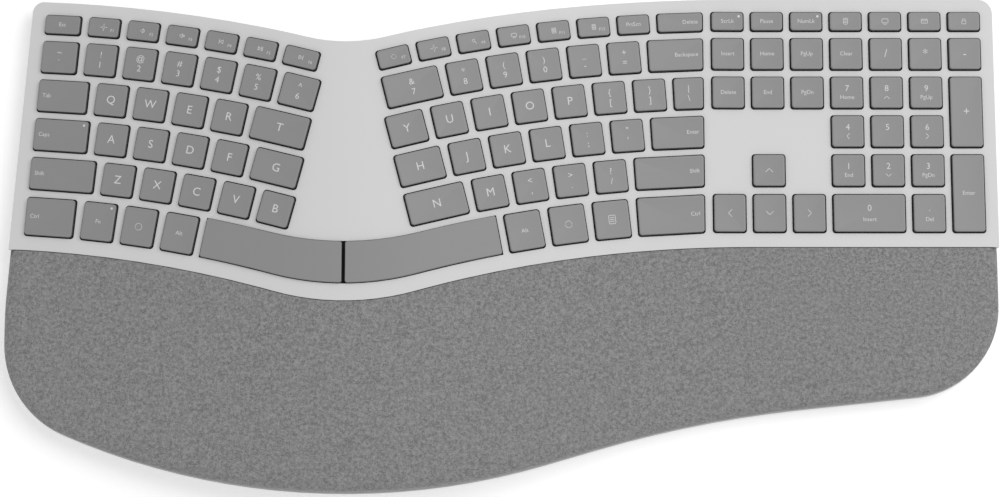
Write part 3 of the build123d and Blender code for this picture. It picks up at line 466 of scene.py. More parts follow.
class Workshop:
    """Materials and small mesh jobs that all sub-assemblies share."""

    def __init__(self, frame: dict) -> None:
        """Makes every material once."""
        self.frame = frame
        self.materials = {finish.slot: self.material(finish) for finish in FINISHES}
        self.legend_material = self.material(LEGEND_FINISH)
        self.painted_side_shade_material = self.material(PAINTED_SIDE_SHADE_FINISH)
        self.floor_material = self.material(FLOOR_FINISH)
        paper = self.floor_material.node_tree.nodes["Principled BSDF"]
        paper.inputs["Emission Color"].default_value = (1, 1, 1, 1)
        paper.inputs["Emission Strength"].default_value = FLOOR_GLOW

    def material(self, finish: Finish) -> bpy.types.Material:
        """Builds the node material of one finish.

        Args:
            finish: Colour, gloss and grain.

        Returns:
            The material.
        """
        made = bpy.data.materials.new(finish.slot)
        made.use_nodes = True
        tree = made.node_tree
        shader = tree.nodes["Principled BSDF"]
        shader.inputs["Base Color"].default_value = (*finish.colour, 1)
        shader.inputs["Roughness"].default_value = finish.roughness
        shader.inputs["Metallic"].default_value = finish.metallic
        if finish.sheen:
            shader.inputs["Sheen Weight"].default_value = finish.sheen
        if finish.grain in RELIEFS:
            self.add_bump(tree, shader, RELIEFS[finish.grain])
        if finish.grain is Grain.MELANGE:
            self.add_melange(tree, shader, finish.colour)
        return made

    def add_bump(self, tree: bpy.types.NodeTree, shader: bpy.types.Node, relief: Relief) -> None:
        """Gives a shader a fine noise relief on object coordinates.

        Args:
            tree: Node tree of the material.
            shader: Its surface shader.
            relief: The bumps.
        """
        place = tree.nodes.new("ShaderNodeTexCoord")
        grain = link_value(tree, "ShaderNodeTexNoise", Scale=relief.scale, Detail=2.0)
        bump = link_value(tree, "ShaderNodeBump", Strength=relief.strength, Distance=relief.height)
        tree.links.new(place.outputs["Object"], grain.inputs["Vector"])
        tree.links.new(grain.outputs["Fac"], bump.inputs["Height"])
        tree.links.new(bump.outputs["Normal"], shader.inputs["Normal"])

    def add_melange(self, tree: bpy.types.NodeTree, shader: bpy.types.Node,
                    colour: tuple[float, float, float]) -> None:
        """Gives a shader the mottled look and nap of a melange fabric.

        Args:
            tree: Node tree of the material.
            shader: Its surface shader.
            colour: Mean colour of the yarn.
        """
        place = tree.nodes.new("ShaderNodeTexCoord")
        fine = link_value(tree, "ShaderNodeTexNoise", Scale=MELANGE_FINE, Detail=2.0,
                          Roughness=MELANGE_ROUGHNESS)
        broad = link_value(tree, "ShaderNodeTexNoise", Scale=MELANGE_BROAD, Detail=3.0,
                           Roughness=MELANGE_ROUGHNESS)
        blend = tree.nodes.new("ShaderNodeMath")
        blend.operation = "ADD"
        ramp = tree.nodes.new("ShaderNodeValToRGB")
        ramp.color_ramp.elements[0].position = MELANGE_SPREAD[0]
        ramp.color_ramp.elements[1].position = MELANGE_SPREAD[1]
        halve = link_value(tree, "ShaderNodeMath")
        halve.operation = "MULTIPLY"
        halve.inputs[1].default_value = 0.5
        dark = tuple(channel * MELANGE_DARK for channel in colour)
        light = tuple(channel * MELANGE_LIGHT for channel in colour)
        ramp.color_ramp.elements[0].color = (*dark, 1)
        ramp.color_ramp.elements[1].color = (*light, 1)
        bump = link_value(tree, "ShaderNodeBump", Strength=NAP_STRENGTH, Distance=NAP_HEIGHT)
        for layer in (fine, broad):
            tree.links.new(place.outputs["Object"], layer.inputs["Vector"])
        tree.links.new(fine.outputs["Fac"], blend.inputs[0])
        tree.links.new(broad.outputs["Fac"], blend.inputs[1])
        tree.links.new(blend.outputs[0], halve.inputs[0])
        tree.links.new(halve.outputs[0], ramp.inputs["Fac"])
        tree.links.new(ramp.outputs["Color"], shader.inputs["Base Color"])
        tree.links.new(fine.outputs["Fac"], bump.inputs["Height"])
        tree.links.new(bump.outputs["Normal"], shader.inputs["Normal"])

    def slot_of(self, node: str) -> str:
        """Material slot that the record gives a node."""
        parts = self.frame["record"]["subparts"]
        return next(part["material_slot"] for part in parts if part["node"] == node)

    def merged(self, node: str) -> bmesh.types.BMesh:
        """Copy of a node's mesh with its loose corners merged."""
        copy = bmesh.new()
        copy.from_mesh(self.frame["nodes"][node].data)
        bmesh.ops.remove_doubles(copy, verts=copy.verts, dist=MERGE_DISTANCE)
        return copy

    def place(self, name: str, shape: bmesh.types.BMesh, body: str, slot: str | None,
              stands_for: tuple[str, ...] = (), smooth: bool = True) -> bpy.types.Object:
        """Turns a bmesh into a finished piece that rides on a body.

        Args:
            name: Name of the piece.
            shape: Its mesh in the row frame, freed here.
            body: The CAD body it rides on.
            slot: Its material slot, or None for printed legends.
            stands_for: The CAD nodes it replaces.
            smooth: Whether its faces are shaded smooth.

        Returns:
            The new object.
        """
        mesh = bpy.data.meshes.new(name)
        for face in shape.faces:
            face.smooth = smooth
        shape.to_mesh(mesh)
        shape.free()
        piece = bpy.data.objects.new(name, mesh)
        bpy.context.scene.collection.objects.link(piece)
        mesh.materials.append(self.materials[slot] if slot else self.legend_material)
        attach(piece, body)
        if stands_for:
            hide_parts(*stands_for)
        log.info("%s: %d faces on %s", name, len(mesh.polygons), body)
        return piece


def body_name(frame: dict, node: str) -> str:
    """Name of the body that holds a node."""
    bodies = frame["record"]["behaviour"]["bodies"]
    return next(name for name, nodes in bodies.items() if node in nodes)


def islands(shape: bmesh.types.BMesh) -> list[list[Vector]]:
    """Corners of every separate solid in a mesh."""
    seen: set[int] = set()
    found = []
    shape.verts.ensure_lookup_table()
    for start in shape.verts:
        if start.index in seen:
            continue
        seen.add(start.index)
        heap = [start]
        corners = []
        while heap:
            vert = heap.pop()
            corners.append(vert.co.copy())
            for edge in vert.link_edges:
                other = edge.other_vert(vert)
                if other.index not in seen:
                    seen.add(other.index)
                    heap.append(other)
        found.append(corners)
    return found


@dataclass
class CapSpot:
    """Place of one keycap: middle of its top and the cap's own directions."""

    corners: list[Vector]
    feet: list[Vector]
    centre: Vector = field(init=False)
    right: Vector = field(init=False)
    back: Vector = field(init=False)
    up: Vector = field(init=False)
    width: float = field(init=False)
    depth: float = field(init=False)

    def __post_init__(self) -> None:
        """Works out the middle, directions and size from the corners."""
        front_left, front_right, back_right, back_left = self.corners
        self.centre = sum(self.corners, Vector()) / len(self.corners)
        front = front_right - front_left
        back = back_right - back_left
        self.right = (front.normalized() + back.normalized()).normalized()
        self.up = front.cross(back_left - front_left).normalized()
        self.back = self.up.cross(self.right)
        self.width = (front.length + back.length) / 2
        self.depth = ((back_left - front_left).length + (back_right - front_right).length) / 2

    def matrix(self, x: float, y: float, sink: float) -> Matrix:
        """Placement of a legend on the cap's top.

        Args:
            x: Share of the half width inside the margin.
            y: Share of the half depth inside the margin.
            sink: How far it lies below the top's corners.

        Returns:
            Matrix from the legend's own frame.
        """
        reach_x = self.width / 2 - LEGEND_MARGIN
        reach_y = self.depth / 2 - LEGEND_MARGIN
        spot = self.centre + self.right * x * reach_x + self.back * y * reach_y - self.up * sink
        turned = Matrix((self.right, self.back, self.up)).transposed().to_4x4()
        return Matrix.Translation(spot) @ turned


def ordered_quad(points: list[Vector]) -> list[Vector]:
    """Four corners from the front left, counter-clockwise."""
    middle = sum(points, Vector()) / len(points)
    return sorted(points, key=lambda p: math.atan2(p.y - middle.y, p.x - middle.x))


def hull_of(corners: list[Vector]) -> bmesh.types.BMesh:
    """Closed block around the corners of a hollow cap."""
    block = bmesh.new()
    for corner in corners:
        block.verts.new(corner)
    bmesh.ops.convex_hull(block, input=block.verts)
    loose = [vert for vert in block.verts if not vert.link_faces]
    bmesh.ops.delete(block, geom=loose, context="VERTS")
    bmesh.ops.dissolve_limit(block, angle_limit=HULL_ANGLE, verts=block.verts, edges=block.edges)
    return block


def round_edges(shape: bmesh.types.BMesh, edges: list[bmesh.types.BMEdge], radius: float,
                segments: int) -> None:
    """Rounds some edges of a mesh by a bevel of so many segments."""
    bmesh.ops.bevel(shape, geom=edges, offset=radius, offset_type="OFFSET", segments=segments,
                    profile=ROUND_PROFILE, affect="EDGES", material=-1, clamp_overlap=True)


def top_face(block: bmesh.types.BMesh) -> bmesh.types.BMFace:
    """The large face of a cap that looks up."""
    upward = [face for face in block.faces if face.normal.z > UPRIGHT]
    return max(upward, key=lambda face: face.calc_area())


class Keyboard:
    """The whole dressed keyboard, one method for each sub-assembly."""

    def __init__(self, frame: dict) -> None:
        """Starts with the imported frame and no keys."""
        self.frame = frame
        self.shop = Workshop(frame)
        self.spots: dict[str, list[CapSpot]] = {}
        self.words: dict[tuple[str, float, Align], bpy.types.Mesh] = {}

    def build(self) -> None:
        """Dresses the frame: bare nodes first, then every piece with a form of its own."""
        self.paint_nodes()
        for node in LEGENDS:
            self.make_caps(node)
        for node in SPACE_BARS:
            self.make_space_bar(node)
        self.make_deck()
        for node, keep in FOLDING.items():
            self.make_folding(node)
        self.make_wires()
        self.make_palm_cushion()
        self.make_screw_recess_shade()

    def paint_nodes(self) -> None:
        """Gives every CAD node the finish of its slot."""
        for node, piece in self.frame["nodes"].items():
            piece.data.materials.clear()
            piece.data.materials.append(self.shop.materials[self.shop.slot_of(node)])
            log.info("%s painted", node)

    def make_caps(self, node: str) -> None:
        """Rounded and dished caps of one node, and their legends."""
        whole = bmesh.new()
        spots = []
        for corners in islands(self.shop.merged(node)):
            block = hull_of(corners)
            top = top_face(block)
            spots.append(self.cap_spot(block, top))
            self.round_cap(block, top)
            part = bpy.data.meshes.new(node)
            block.to_mesh(part)
            block.free()
            whole.from_mesh(part)
            bpy.data.meshes.remove(part)
        spots.sort(key=lambda spot: spot.centre.x)
        if node in ("navigation_keys", "numpad_digits"):
            spots.sort(key=lambda spot: (-round(spot.centre.y / ROW_BIN), spot.centre.x))
        self.spots[node] = spots
        body = body_name(self.frame, node)
        caps = self.shop.place(f"{node}_caps", whole, body, "key_plastic", (node,))
        # Second slot: the painted shade of the side walls
        caps.data.materials.append(self.shop.painted_side_shade_material)
        self.make_legends(node, body)

    def cap_spot(self, block: bmesh.types.BMesh, top: bmesh.types.BMFace) -> CapSpot:
        """Reads a cap's place from its block."""
        corners = ordered_quad([vert.co.copy() for vert in top.verts])
        lower = [vert.co.copy() for vert in block.verts if vert not in set(top.verts)]
        feet = [min(lower, key=lambda low, corner=corner: (low - corner).length) for corner in corners]
        return CapSpot(corners, feet)

    def round_cap(self, block: bmesh.types.BMesh, top: bmesh.types.BMFace) -> None:
        """Rounds a cap's corners, breaks its rim, dishes its top and paints shade on its side walls."""
        rim = set(top.verts)
        sides = [edge for edge in block.edges if (edge.verts[0] in rim) != (edge.verts[1] in rim)]
        round_edges(block, sides, CAP_CORNER_RADIUS, CORNER_SEGMENTS)
        top = top_face(block)
        round_edges(block, list(top.edges), CAP_EDGE_BEVEL, RIM_SEGMENTS)
        top = top_face(block)
        bmesh.ops.inset_region(block, faces=[top], thickness=CAP_DISH_INSET, depth=-CAP_DISH_DEPTH,
                               use_even_offset=True, use_boundary=True)
        up = top.normal.copy()
        self.hollow_cap(block, up)
        block.normal_update()
        # Side faces take the second slot, the painted shade of the gap round the cap
        for face in block.faces:
            face.material_index = int(abs(face.normal.dot(up)) < PAINTED_SHADE_LEAN)

    def hollow_cap(self, block: bmesh.types.BMesh, up: Vector) -> None:
        """Opens a cap from below, with an even wall round it."""
        under = min(block.faces, key=lambda face: (round(face.normal.dot(up), 3), -face.calc_area()))
        bmesh.ops.inset_region(block, faces=[under], thickness=CAP_WALL, use_even_offset=True,
                               use_boundary=True)
        raised = bmesh.ops.extrude_discrete_faces(block, faces=[under])["faces"]
        bmesh.ops.translate(block, verts=raised[0].verts, vec=up * CAP_HOLLOW)

    def word_mesh(self, text: str, size: float, align: Align) -> bpy.types.Mesh:
        """Thin mesh of a word in the built-in font, kept for the next key."""
        key = (text, size, align)
        if key not in self.words:
            curve = bpy.data.curves.new("legend", "FONT")
            curve.body = text
            curve.size = size
            curve.align_x = align.value
            curve.align_y = "CENTER"
            curve.resolution_u = LEGEND_FINENESS
            curve.extrude = LEGEND_THICKNESS
            holder = bpy.data.objects.new("legend", curve)
            bpy.context.scene.collection.objects.link(holder)
            bpy.context.view_layer.update()
            graph = bpy.context.evaluated_depsgraph_get()
            self.words[key] = bpy.data.meshes.new_from_object(holder.evaluated_get(graph))
            bpy.data.objects.remove(holder)
            bpy.data.curves.remove(curve)
        return self.words[key]

    def icon_mesh(self, name: str, size: float) -> bpy.types.Mesh:
        """Thin mesh of an icon's lines."""
        drawing = bmesh.new()
        for line in ICONS[name]:
            points = [Vector((x * size, y * size, 0)) for x, y in line]
            for start, end in zip(points, points[1:]):
                along = (end - start).normalized() * STROKE_WIDTH / 2
                across = Vector((-along.y, along.x, 0))
                ring = [
                    start - along - across, end + along - across,
                    end + along + across, start - along + across,
                ]
                low = [drawing.verts.new(point) for point in ring]
                face = drawing.faces.new(low)
                raised = bmesh.ops.extrude_face_region(drawing, geom=[face])
                tops = [item for item in raised["geom"] if isinstance(item, bmesh.types.BMVert)]
                bmesh.ops.translate(drawing, verts=tops, vec=UP * LEGEND_THICKNESS)
        mesh = bpy.data.meshes.new(name)
        drawing.to_mesh(mesh)
        drawing.free()
        return mesh

    def make_legends(self, node: str, body: str) -> None:
        """Printed signs of one node's keys, on the floors of their dishes."""
        sheet = bmesh.new()
        for spot, marks in zip(self.spots[node], LEGENDS[node]):
            for mark in marks:
                mesh = self.icon_mesh(mark.text, mark.size) if mark.icon else \
                    self.word_mesh(mark.text, mark.size, mark.align)
                start = len(sheet.verts)
                sheet.from_mesh(mesh)
                sheet.verts.ensure_lookup_table()
                place = spot.matrix(mark.x, mark.y, CAP_DISH_DEPTH - LEGEND_LIFT)
                bmesh.ops.transform(sheet, matrix=place, verts=sheet.verts[start:])
        self.shop.place(f"{node}_legends", sheet, body, None, smooth=False)

    def make_space_bar(self, node: str) -> None:
        """Curved space bar with rounded corners and a broken rim."""
        bar = self.shop.merged(node)
        bmesh.ops.dissolve_limit(bar, angle_limit=BAR_ANGLE, verts=bar.verts, edges=bar.edges)
        bmesh.ops.recalc_face_normals(bar, faces=bar.faces)
        posts = [
            edge for edge in bar.edges
            if len(edge.link_faces) == 2 and edge.calc_length() > CAP_MIN_SIDE
            and abs((edge.verts[0].co - edge.verts[1].co).normalized().z) > UPRIGHT
            and edge.calc_face_angle_signed() > SHARP_ANGLE
        ]
        round_edges(bar, posts, CAP_CORNER_RADIUS, CORNER_SEGMENTS)
        rim = [
            edge for edge in bar.edges
            if len(edge.link_faces) == 2
            and max(face.normal.z for face in edge.link_faces) > UPRIGHT
            and min(face.normal.z for face in edge.link_faces) < SIDEWAYS
            and edge.calc_face_angle_signed() > SHARP_ANGLE
        ]
        round_edges(bar, rim, CAP_EDGE_BEVEL, RIM_SEGMENTS)
        piece = self.shop.place(f"{node}_cap", bar, body_name(self.frame, node), "key_plastic", (node,))
        self.follow_gull(piece.data)

    def gull_normal(self, x: float) -> Vector:
        """Direction of the deck's surface at a place across the keyboard."""
        bend = CREST_RADIUS * math.sin(WING_SLOPE)
        straight = CREST_X + bend + RIGHT_RUN * math.cos(WING_SLOPE)
        flat = straight + HOLLOW_RADIUS * math.sin(WING_SLOPE)
        if x < CREST_X + bend:
            lean = max(-WING_SLOPE, math.asin(max(-1.0, (x - CREST_X) / CREST_RADIUS)))
        elif x < straight:
            lean = WING_SLOPE
        elif x < flat:
            lean = math.asin((flat - x) / HOLLOW_RADIUS)
        else:
            lean = 0.0
        across = Vector((math.sin(lean), 0, math.cos(lean)))
        return Matrix.Rotation(-DECK_TILT, 3, "X") @ across

    def follow_gull(self, mesh: bpy.types.Mesh) -> None:
        """Shades the faces that look up along the true curve of the deck, and the others flat."""
        normals = []
        for face in mesh.polygons:
            for vertex in face.vertices:
                if face.normal.z > DECK_FACING:
                    normals.append(self.gull_normal(mesh.vertices[vertex].co.x))
                else:
                    normals.append(face.normal.copy())
        mesh.normals_split_custom_set(normals)

    def make_deck(self) -> None:
        """Deck shell with filled, rounded corners in its wells, and painted shade on their short walls."""
        deck = self.shop.merged("deck_cover")
        tree = BVHTree.FromBMesh(deck)
        for spots in self.spots.values():
            for spot in spots:
                self.add_well_corners(deck, tree, spot)
        piece = self.shop.place("deck_shell", deck, "case", "deck_plastic", ("deck_cover",))
        self.paint_well_shade(piece.data)
        self.follow_gull(piece.data)

    def paint_well_shade(self, mesh: bpy.types.Mesh) -> None:
        """Paints shade on the short walls of the wells, where the caps' shade falls, with the dark
        membrane film finish.
        """
        # Painted shade: the deck's grey wall plastic takes the dark membrane film finish here
        mesh.materials.append(self.shop.materials["membrane_film"])
        for face in mesh.polygons:
            heights = [mesh.vertices[vertex].co.z for vertex in face.vertices]
            short = max(heights) - min(heights) < WELL_WALL
            if abs(face.normal.z) < STEEP and short and min(heights) > WELL_LOWEST:
                face.material_index = 1

    def add_well_corners(self, deck: bmesh.types.BMesh, tree: BVHTree, spot: CapSpot) -> None:
        """Adds the four rounded corners of one well to the deck."""
        feet = spot.feet
        middle = sum(feet, Vector()) / len(feet)
        lift = (spot.centre - middle).dot(spot.up) - CAP_PROUD
        wall = []
        for i, foot in enumerate(feet):
            ahead = (feet[(i + 1) % 4] - foot).normalized()
            behind = (feet[i - 1] - foot).normalized()
            spread = WELL_GAP / ahead.cross(behind).length
            wall.append((foot + spot.up * lift - (ahead + behind) * spread, ahead, behind))
        for corner, ahead, behind in wall:
            outward = -(ahead + behind).normalized()
            probe = corner + outward * WELL_GAP
            hit = tree.ray_cast(probe + UP * CAP_PROUD * WELL_PROBE, DOWN)
            surface = hit[0] if hit[0] is not None else corner
            normal = self.gull_normal(corner.x)
            drop = (surface - corner).dot(normal) - WELL_CORNER_SINK
            start = corner + normal * drop
            turn = ahead.angle(behind)
            reach = WELL_RADIUS / math.tan(turn / 2)
            pivot = start + (ahead + behind).normalized() * WELL_RADIUS / math.sin(turn / 2)
            first = start + ahead * reach - pivot
            last = start + behind * reach - pivot
            ring = [start]
            for step in range(WELL_CORNER_STEPS + 1):
                ring.append(pivot + first.lerp(last, step / WELL_CORNER_STEPS).normalized() * WELL_RADIUS)
            face = deck.faces.new([deck.verts.new(point) for point in ring])
            face.normal_update()
            if face.normal.z < 0:
                face.normal_flip()
            lowered = bmesh.ops.extrude_face_region(deck, geom=[face])
            feet_below = [item for item in lowered["geom"] if isinstance(item, bmesh.types.BMVert)]
            bmesh.ops.translate(deck, verts=feet_below, vec=-normal * WELL_CORNER_DEPTH)
            made = [item for item in lowered["geom"] if isinstance(item, bmesh.types.BMFace)]
            around = {near for bottom in made for edge in bottom.edges for near in edge.link_faces}
            bmesh.ops.recalc_face_normals(deck, faces=list(around) + [face])

    def key_above(self, spot: Vector) -> str:
        """Node of the key over a place in plan; the space bars hold what no cap's middle is near."""
        flat = Vector((spot.x, spot.y, 0))
        near = {
            node: min((Vector((cap.centre.x, cap.centre.y, 0)) - flat).length for cap in caps)
            for node, caps in self.spots.items()
        }
        node = min(near, key=near.get)
        if near[node] < UNDER_CAP:
            return node
        return SPACE_BARS[0] if spot.x < CREST_X else SPACE_BARS[1]

    def only(self, node: str, groups: list[list[Vector]]) -> bmesh.types.BMesh:
        """Those solids of a node whose corners are given."""
        kept = {tuple(corner) for corners in groups for corner in corners}
        part = self.shop.merged(node)
        gone = [vert for vert in part.verts if tuple(vert.co) not in kept]
        bmesh.ops.delete(part, geom=gone, context="VERTS")
        return part

    def make_folding(self, node: str) -> None:
        """Domes or links, split into pieces by the key above them and by their level.

        Args:
            node: The CAD node that holds all of them.
        """
        joints = self.frame["record"]["behaviour"]["joints"]
        axes = {joint["child"]: Vector(joint["axis"]) for joint in joints}
        groups: dict[tuple[str, int], list[list[Vector]]] = {}
        for corners in islands(self.shop.merged(node)):
            middle = sum(corners, Vector()) / len(corners)
            key = self.key_above(middle)
            level = round(middle.dot(-axes[key]) / FOLD_BIN)
            groups.setdefault((key, level), []).append(corners)
        for (key, level), members in sorted(groups.items()):
            corners = [corner for group in members for corner in group]
            middle = sum(corners, Vector()) / len(corners)
            piece = self.shop.place(f"{node}_{key}_{level}", self.only(node, members), "case",
                                    self.shop.slot_of(node), (node,), smooth=False)
            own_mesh(piece)

    def make_wires(self) -> None:
        """Stabiliser wires, each on the wide key that it hangs under."""
        groups: dict[str, list[list[Vector]]] = {}
        for corners in islands(self.shop.merged("stabiliser_wires")):
            groups.setdefault(self.key_above(sum(corners, Vector()) / len(corners)), []).append(corners)
        for key, members in sorted(groups.items()):
            self.shop.place(f"{key}_wire", self.only("stabiliser_wires", members), key, "wire_steel",
                            ("stabiliser_wires",))

    def make_palm_cushion(self) -> None:
        """Padded fabric cover: crowned top, rolled rim and a skirt down to the base."""
        solid = self.shop.merged("palm_rest_cover")
        tree = BVHTree.FromBMesh(solid)
        outline = self.lower_outline(solid)
        solid.free()
        ribbon = BVHTree.FromPolygons(
            [point + UP * rise for point in outline for rise in (-1, 1)],
            [(2 * i, 2 * i + 1, (2 * i + 3) % (2 * len(outline)), (2 * i + 2) % (2 * len(outline)))
             for i in range(len(outline))],
        )
        cushion = bmesh.new()
        centre = cushion.faces.new([cushion.verts.new((point.x, point.y, 0)) for point in outline])
        centre.normal_update()
        if centre.normal.z < 0:
            centre.normal_flip()
        for ring in RIM_RINGS:
            bmesh.ops.inset_region(cushion, faces=[centre], thickness=ring * MM, use_even_offset=True,
                                   use_boundary=True)
        self.grid(cushion)
        bmesh.ops.remove_doubles(cushion, verts=cushion.verts, dist=GRID_MERGE)
        edge = [line for line in cushion.edges if line.is_boundary]
        log.info("cushion rim: %d lines", len(edge))
        for vert in cushion.verts:
            vert.co.z = self.cushion_height(vert.co, tree, ribbon)
        bottom = min(point.z for point in outline)
        self.add_skirt(cushion, edge, bottom)
        bmesh.ops.recalc_face_normals(cushion, faces=cushion.faces)
        piece = self.shop.place("palm_cushion", cushion, "case", "palm_fabric", ("palm_rest_cover",))

    def lower_outline(self, solid: bmesh.types.BMesh) -> list[Vector]:
        """Outer loop of the cover's lower rim, with its long runs divided."""
        solid.edges.index_update()
        lowest = min(vert.co.z for vert in solid.verts)
        rim = [
            line for line in solid.edges
            if max(vert.co.z for vert in line.verts) < lowest + LEVEL_TOLERANCE
            and sum(1 for face in line.link_faces if face.normal.z < -UPRIGHT) == 1
        ]
        loops = []
        left = {line.index: line for line in rim}
        while left:
            line = left.pop(min(left))
            start, vert = line.verts
            loop = [start, vert]
            while vert is not start:
                step = next((near for near in vert.link_edges if near.index in left), None)
                if step is None:
                    break
                left.pop(step.index)
                vert = step.other_vert(vert)
                loop.append(vert)
            loops.append([point.co.copy() for point in loop[:-1]])
        outer = max(loops, key=lambda loop: max(p.x for p in loop) - min(p.x for p in loop))
        log.info("cover outline: %d loops, %d points", len(loops), len(outer))
        dense = []
        for start, end in zip(outer, outer[1:] + outer[:1]):
            parts = max(1, math.ceil((end - start).length / OUTLINE_STEP))
            dense.extend(start.lerp(end, i / parts) for i in range(parts))
        return [self.closer_to_seam(dense, i) for i in range(len(dense))]

    def closer_to_seam(self, loop: list[Vector], i: int) -> Vector:
        """Point of the outline, moved towards the deck where it lies on the seam."""
        along = loop[(i + 1) % len(loop)] - loop[i - 1]
        on_seam = loop[i].y > SEAM_FRONT and abs(along.normalized().x) > SEAM_RUN
        return loop[i] + Vector((0, SEAM_REACH, 0)) if on_seam else loop[i]

    def grid(self, cushion: bmesh.types.BMesh) -> None:
        """Cuts a flat sheet along straight lines both ways, so that it can bend."""
        for axis in (0, 1):
            low = min(vert.co[axis] for vert in cushion.verts)
            high = max(vert.co[axis] for vert in cushion.verts)
            normal = Vector((1 - axis, axis, 0))
            for i in range(1, math.ceil((high - low) / GRID_STEP)):
                place = low + (i - GRID_SHIFT) * GRID_STEP
                crossed = [face for face in cushion.faces if self.crosses(face, axis, place)]
                near = {edge for face in crossed for edge in face.edges}
                ends = {vert for face in crossed for vert in face.verts}
                corners = sorted(ends, key=lambda vert: vert.index)
                lines = sorted(near, key=lambda edge: edge.index)
                bmesh.ops.bisect_plane(cushion, geom=corners + lines + crossed, dist=CUT_DISTANCE,
                                       plane_co=normal * place, plane_no=normal)
                cushion.verts.index_update()
                cushion.edges.index_update()

    def crosses(self, face: bmesh.types.BMFace, axis: int, place: float) -> bool:
        """Whether a face lies on both sides of a line across one axis."""
        reach = [vert.co[axis] for vert in face.verts]
        return min(reach) < place < max(reach)

    def cushion_height(self, spot: Vector, tree: BVHTree, ribbon: BVHTree) -> float:
        """Height of the cushion at a place in plan: the solid's crown, rolled down at the rim."""
        flat = Vector((spot.x, spot.y, 0))
        near, side, _, gap = ribbon.find_nearest(flat)
        inward = flat - Vector((near.x, near.y, 0))
        inward.normalize()
        if gap < ON_RIM:
            inward = Vector((side.x, side.y, 0)).normalized()
            probe = flat + inward * RIM_PROBE
            if tree.ray_cast(Vector((probe.x, probe.y, RAY_HEIGHT)), DOWN)[0] is None:
                inward = -inward
        short = max(0.0, RIM_CLEAR - gap)
        first = self.crown(flat + inward * short, tree)
        if short > 0:
            second = self.crown(flat + inward * (short + RIM_PROBE), tree)
            first += (first - second) * short / RIM_PROBE
        radius = SEAM_RADIUS if -inward.y > SEAM_SIDE else RIM_RADIUS
        if gap < radius:
            first -= radius - math.sqrt(max(0.0, radius ** 2 - (radius - gap) ** 2))
        return first + PUFF_HEIGHT * noise.noise(flat / PUFF_SIZE)

    def crown(self, spot: Vector, tree: BVHTree) -> float:
        """Height of the solid cover's top at a place in plan."""
        hit = tree.ray_cast(Vector((spot.x, spot.y, RAY_HEIGHT)), DOWN)[0]
        return hit.z if hit is not None else NO_CROWN

    def add_skirt(self, cushion: bmesh.types.BMesh, edge: list[bmesh.types.BMEdge], bottom: float) -> None:
        """Hangs the cushion's side down to the base and turns its hem in."""
        rows = edge
        for row in range(SKIRT_ROWS):
            made = bmesh.ops.extrude_edge_only(cushion, edges=rows)["geom"]
            rows = [item for item in made if isinstance(item, bmesh.types.BMEdge)]
            for vert in {vert for line in rows for vert in line.verts}:
                vert.co.z += (bottom - vert.co.z) / (SKIRT_ROWS - row)
        made = bmesh.ops.extrude_edge_only(cushion, edges=rows)["geom"]
        middle = Vector((0, HEM_CENTRE_Y, bottom))
        for vert in [item for item in made if isinstance(item, bmesh.types.BMVert)]:
            vert.co += (middle - vert.co).normalized() * HEM_WIDTH

    def make_screw_recess_shade(self) -> None:
        """Dark cross of painted shade on the head of every case screw, which stands for the shade in its
        recess.
        """
        screws = self.shop.merged("case_screws")
        heads = bmesh.new()
        for corners in islands(screws):
            low = min(corner.z for corner in corners)
            ring = [corner for corner in corners if corner.z < low + LEVEL_TOLERANCE]
            middle = sum(ring, Vector()) / len(ring)
            reach = max((corner - middle).length for corner in ring)
            shape = Matrix.Diagonal((reach * CROSS_LENGTH, reach * CROSS_WIDTH, CROSS_THICKNESS, 1))
            for turn in CROSS_TURNS:
                bar = bmesh.ops.create_cube(heads, size=1)["verts"]
                place = Matrix.Translation(middle) @ Matrix.Rotation(turn, 4, "Z") @ shape
                bmesh.ops.transform(heads, verts=bar, matrix=place)
        screws.free()
        # The dark button plastic here is painted shade in the screws' recesses
        self.shop.place("screw_recess_painted_shade", heads, "case", "button_plastic", smooth=False)


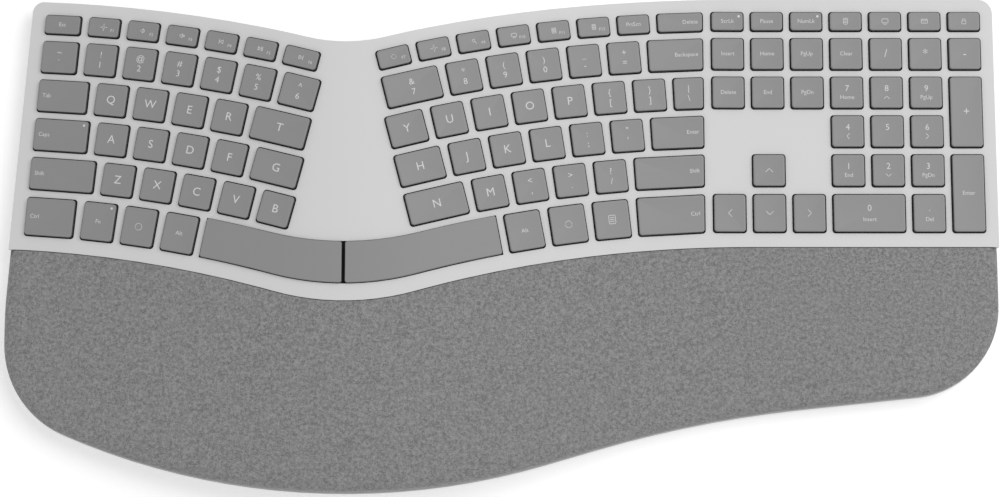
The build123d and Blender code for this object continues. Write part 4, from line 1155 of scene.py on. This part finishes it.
class Studio:
    """Floor, lights and camera."""

    def __init__(self, shop: Workshop) -> None:
        """Takes the materials from the workshop."""
        self.shop = shop

    def build(self) -> None:
        """Sets the stage round the keyboard."""
        self.make_floor()
        self.make_world()
        for softbox in SOFTBOXES:
            self.make_light(softbox)
        self.make_camera()
        bpy.context.scene.view_settings.view_transform = "Standard"

    def make_floor(self) -> None:
        """Large pale table."""
        mesh = bpy.data.meshes.new("floor")
        table = bmesh.new()
        bmesh.ops.create_grid(table, x_segments=1, y_segments=1, size=FLOOR_SIZE)
        table.to_mesh(mesh)
        table.free()
        mesh.materials.append(self.shop.floor_material)
        floor = bpy.data.objects.new("floor", mesh)
        bpy.context.scene.collection.objects.link(floor)

    def make_world(self) -> None:
        """Even white surroundings."""
        world = bpy.data.worlds.new("studio")
        world.use_nodes = True
        world.node_tree.nodes["Background"].inputs["Color"].default_value = (1, 1, 1, 1)
        world.node_tree.nodes["Background"].inputs["Strength"].default_value = WORLD_STRENGTH
        bpy.context.scene.world = world

    def make_light(self, softbox: Softbox) -> None:
        """Adds one softbox that looks at the keyboard."""
        data = bpy.data.lights.new(softbox.name, "AREA")
        data.size = softbox.size
        data.energy = softbox.power
        spot = Vector(softbox.spot)
        light = bpy.data.objects.new(softbox.name, data)
        light.location = spot
        light.rotation_euler = (-spot).to_track_quat("-Z", "Y").to_euler()
        bpy.context.scene.collection.objects.link(light)

    def make_camera(self) -> None:
        """Camera above the keyboard, leaned a little to the front, as in the photograph."""
        data = bpy.data.cameras.new("camera")
        data.sensor_width = SENSOR_WIDTH
        data.lens = CAMERA_FOCUS * CAMERA_DISTANCE * SENSOR_WIDTH
        camera = bpy.data.objects.new("camera", data)
        offset = Vector((0, -math.sin(CAMERA_LEAN), math.cos(CAMERA_LEAN))) * CAMERA_DISTANCE
        camera.location = CAMERA_TARGET + offset
        camera.rotation_euler = (CAMERA_LEAN, 0, 0)
        bpy.context.scene.collection.objects.link(camera)
        bpy.context.scene.camera = camera


def main() -> None:
    """Loads the frame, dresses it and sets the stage."""
    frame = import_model()
    keyboard = Keyboard(frame)
    keyboard.build()
    Studio(keyboard.shop).build()


if __name__ == "__main__":
    main()
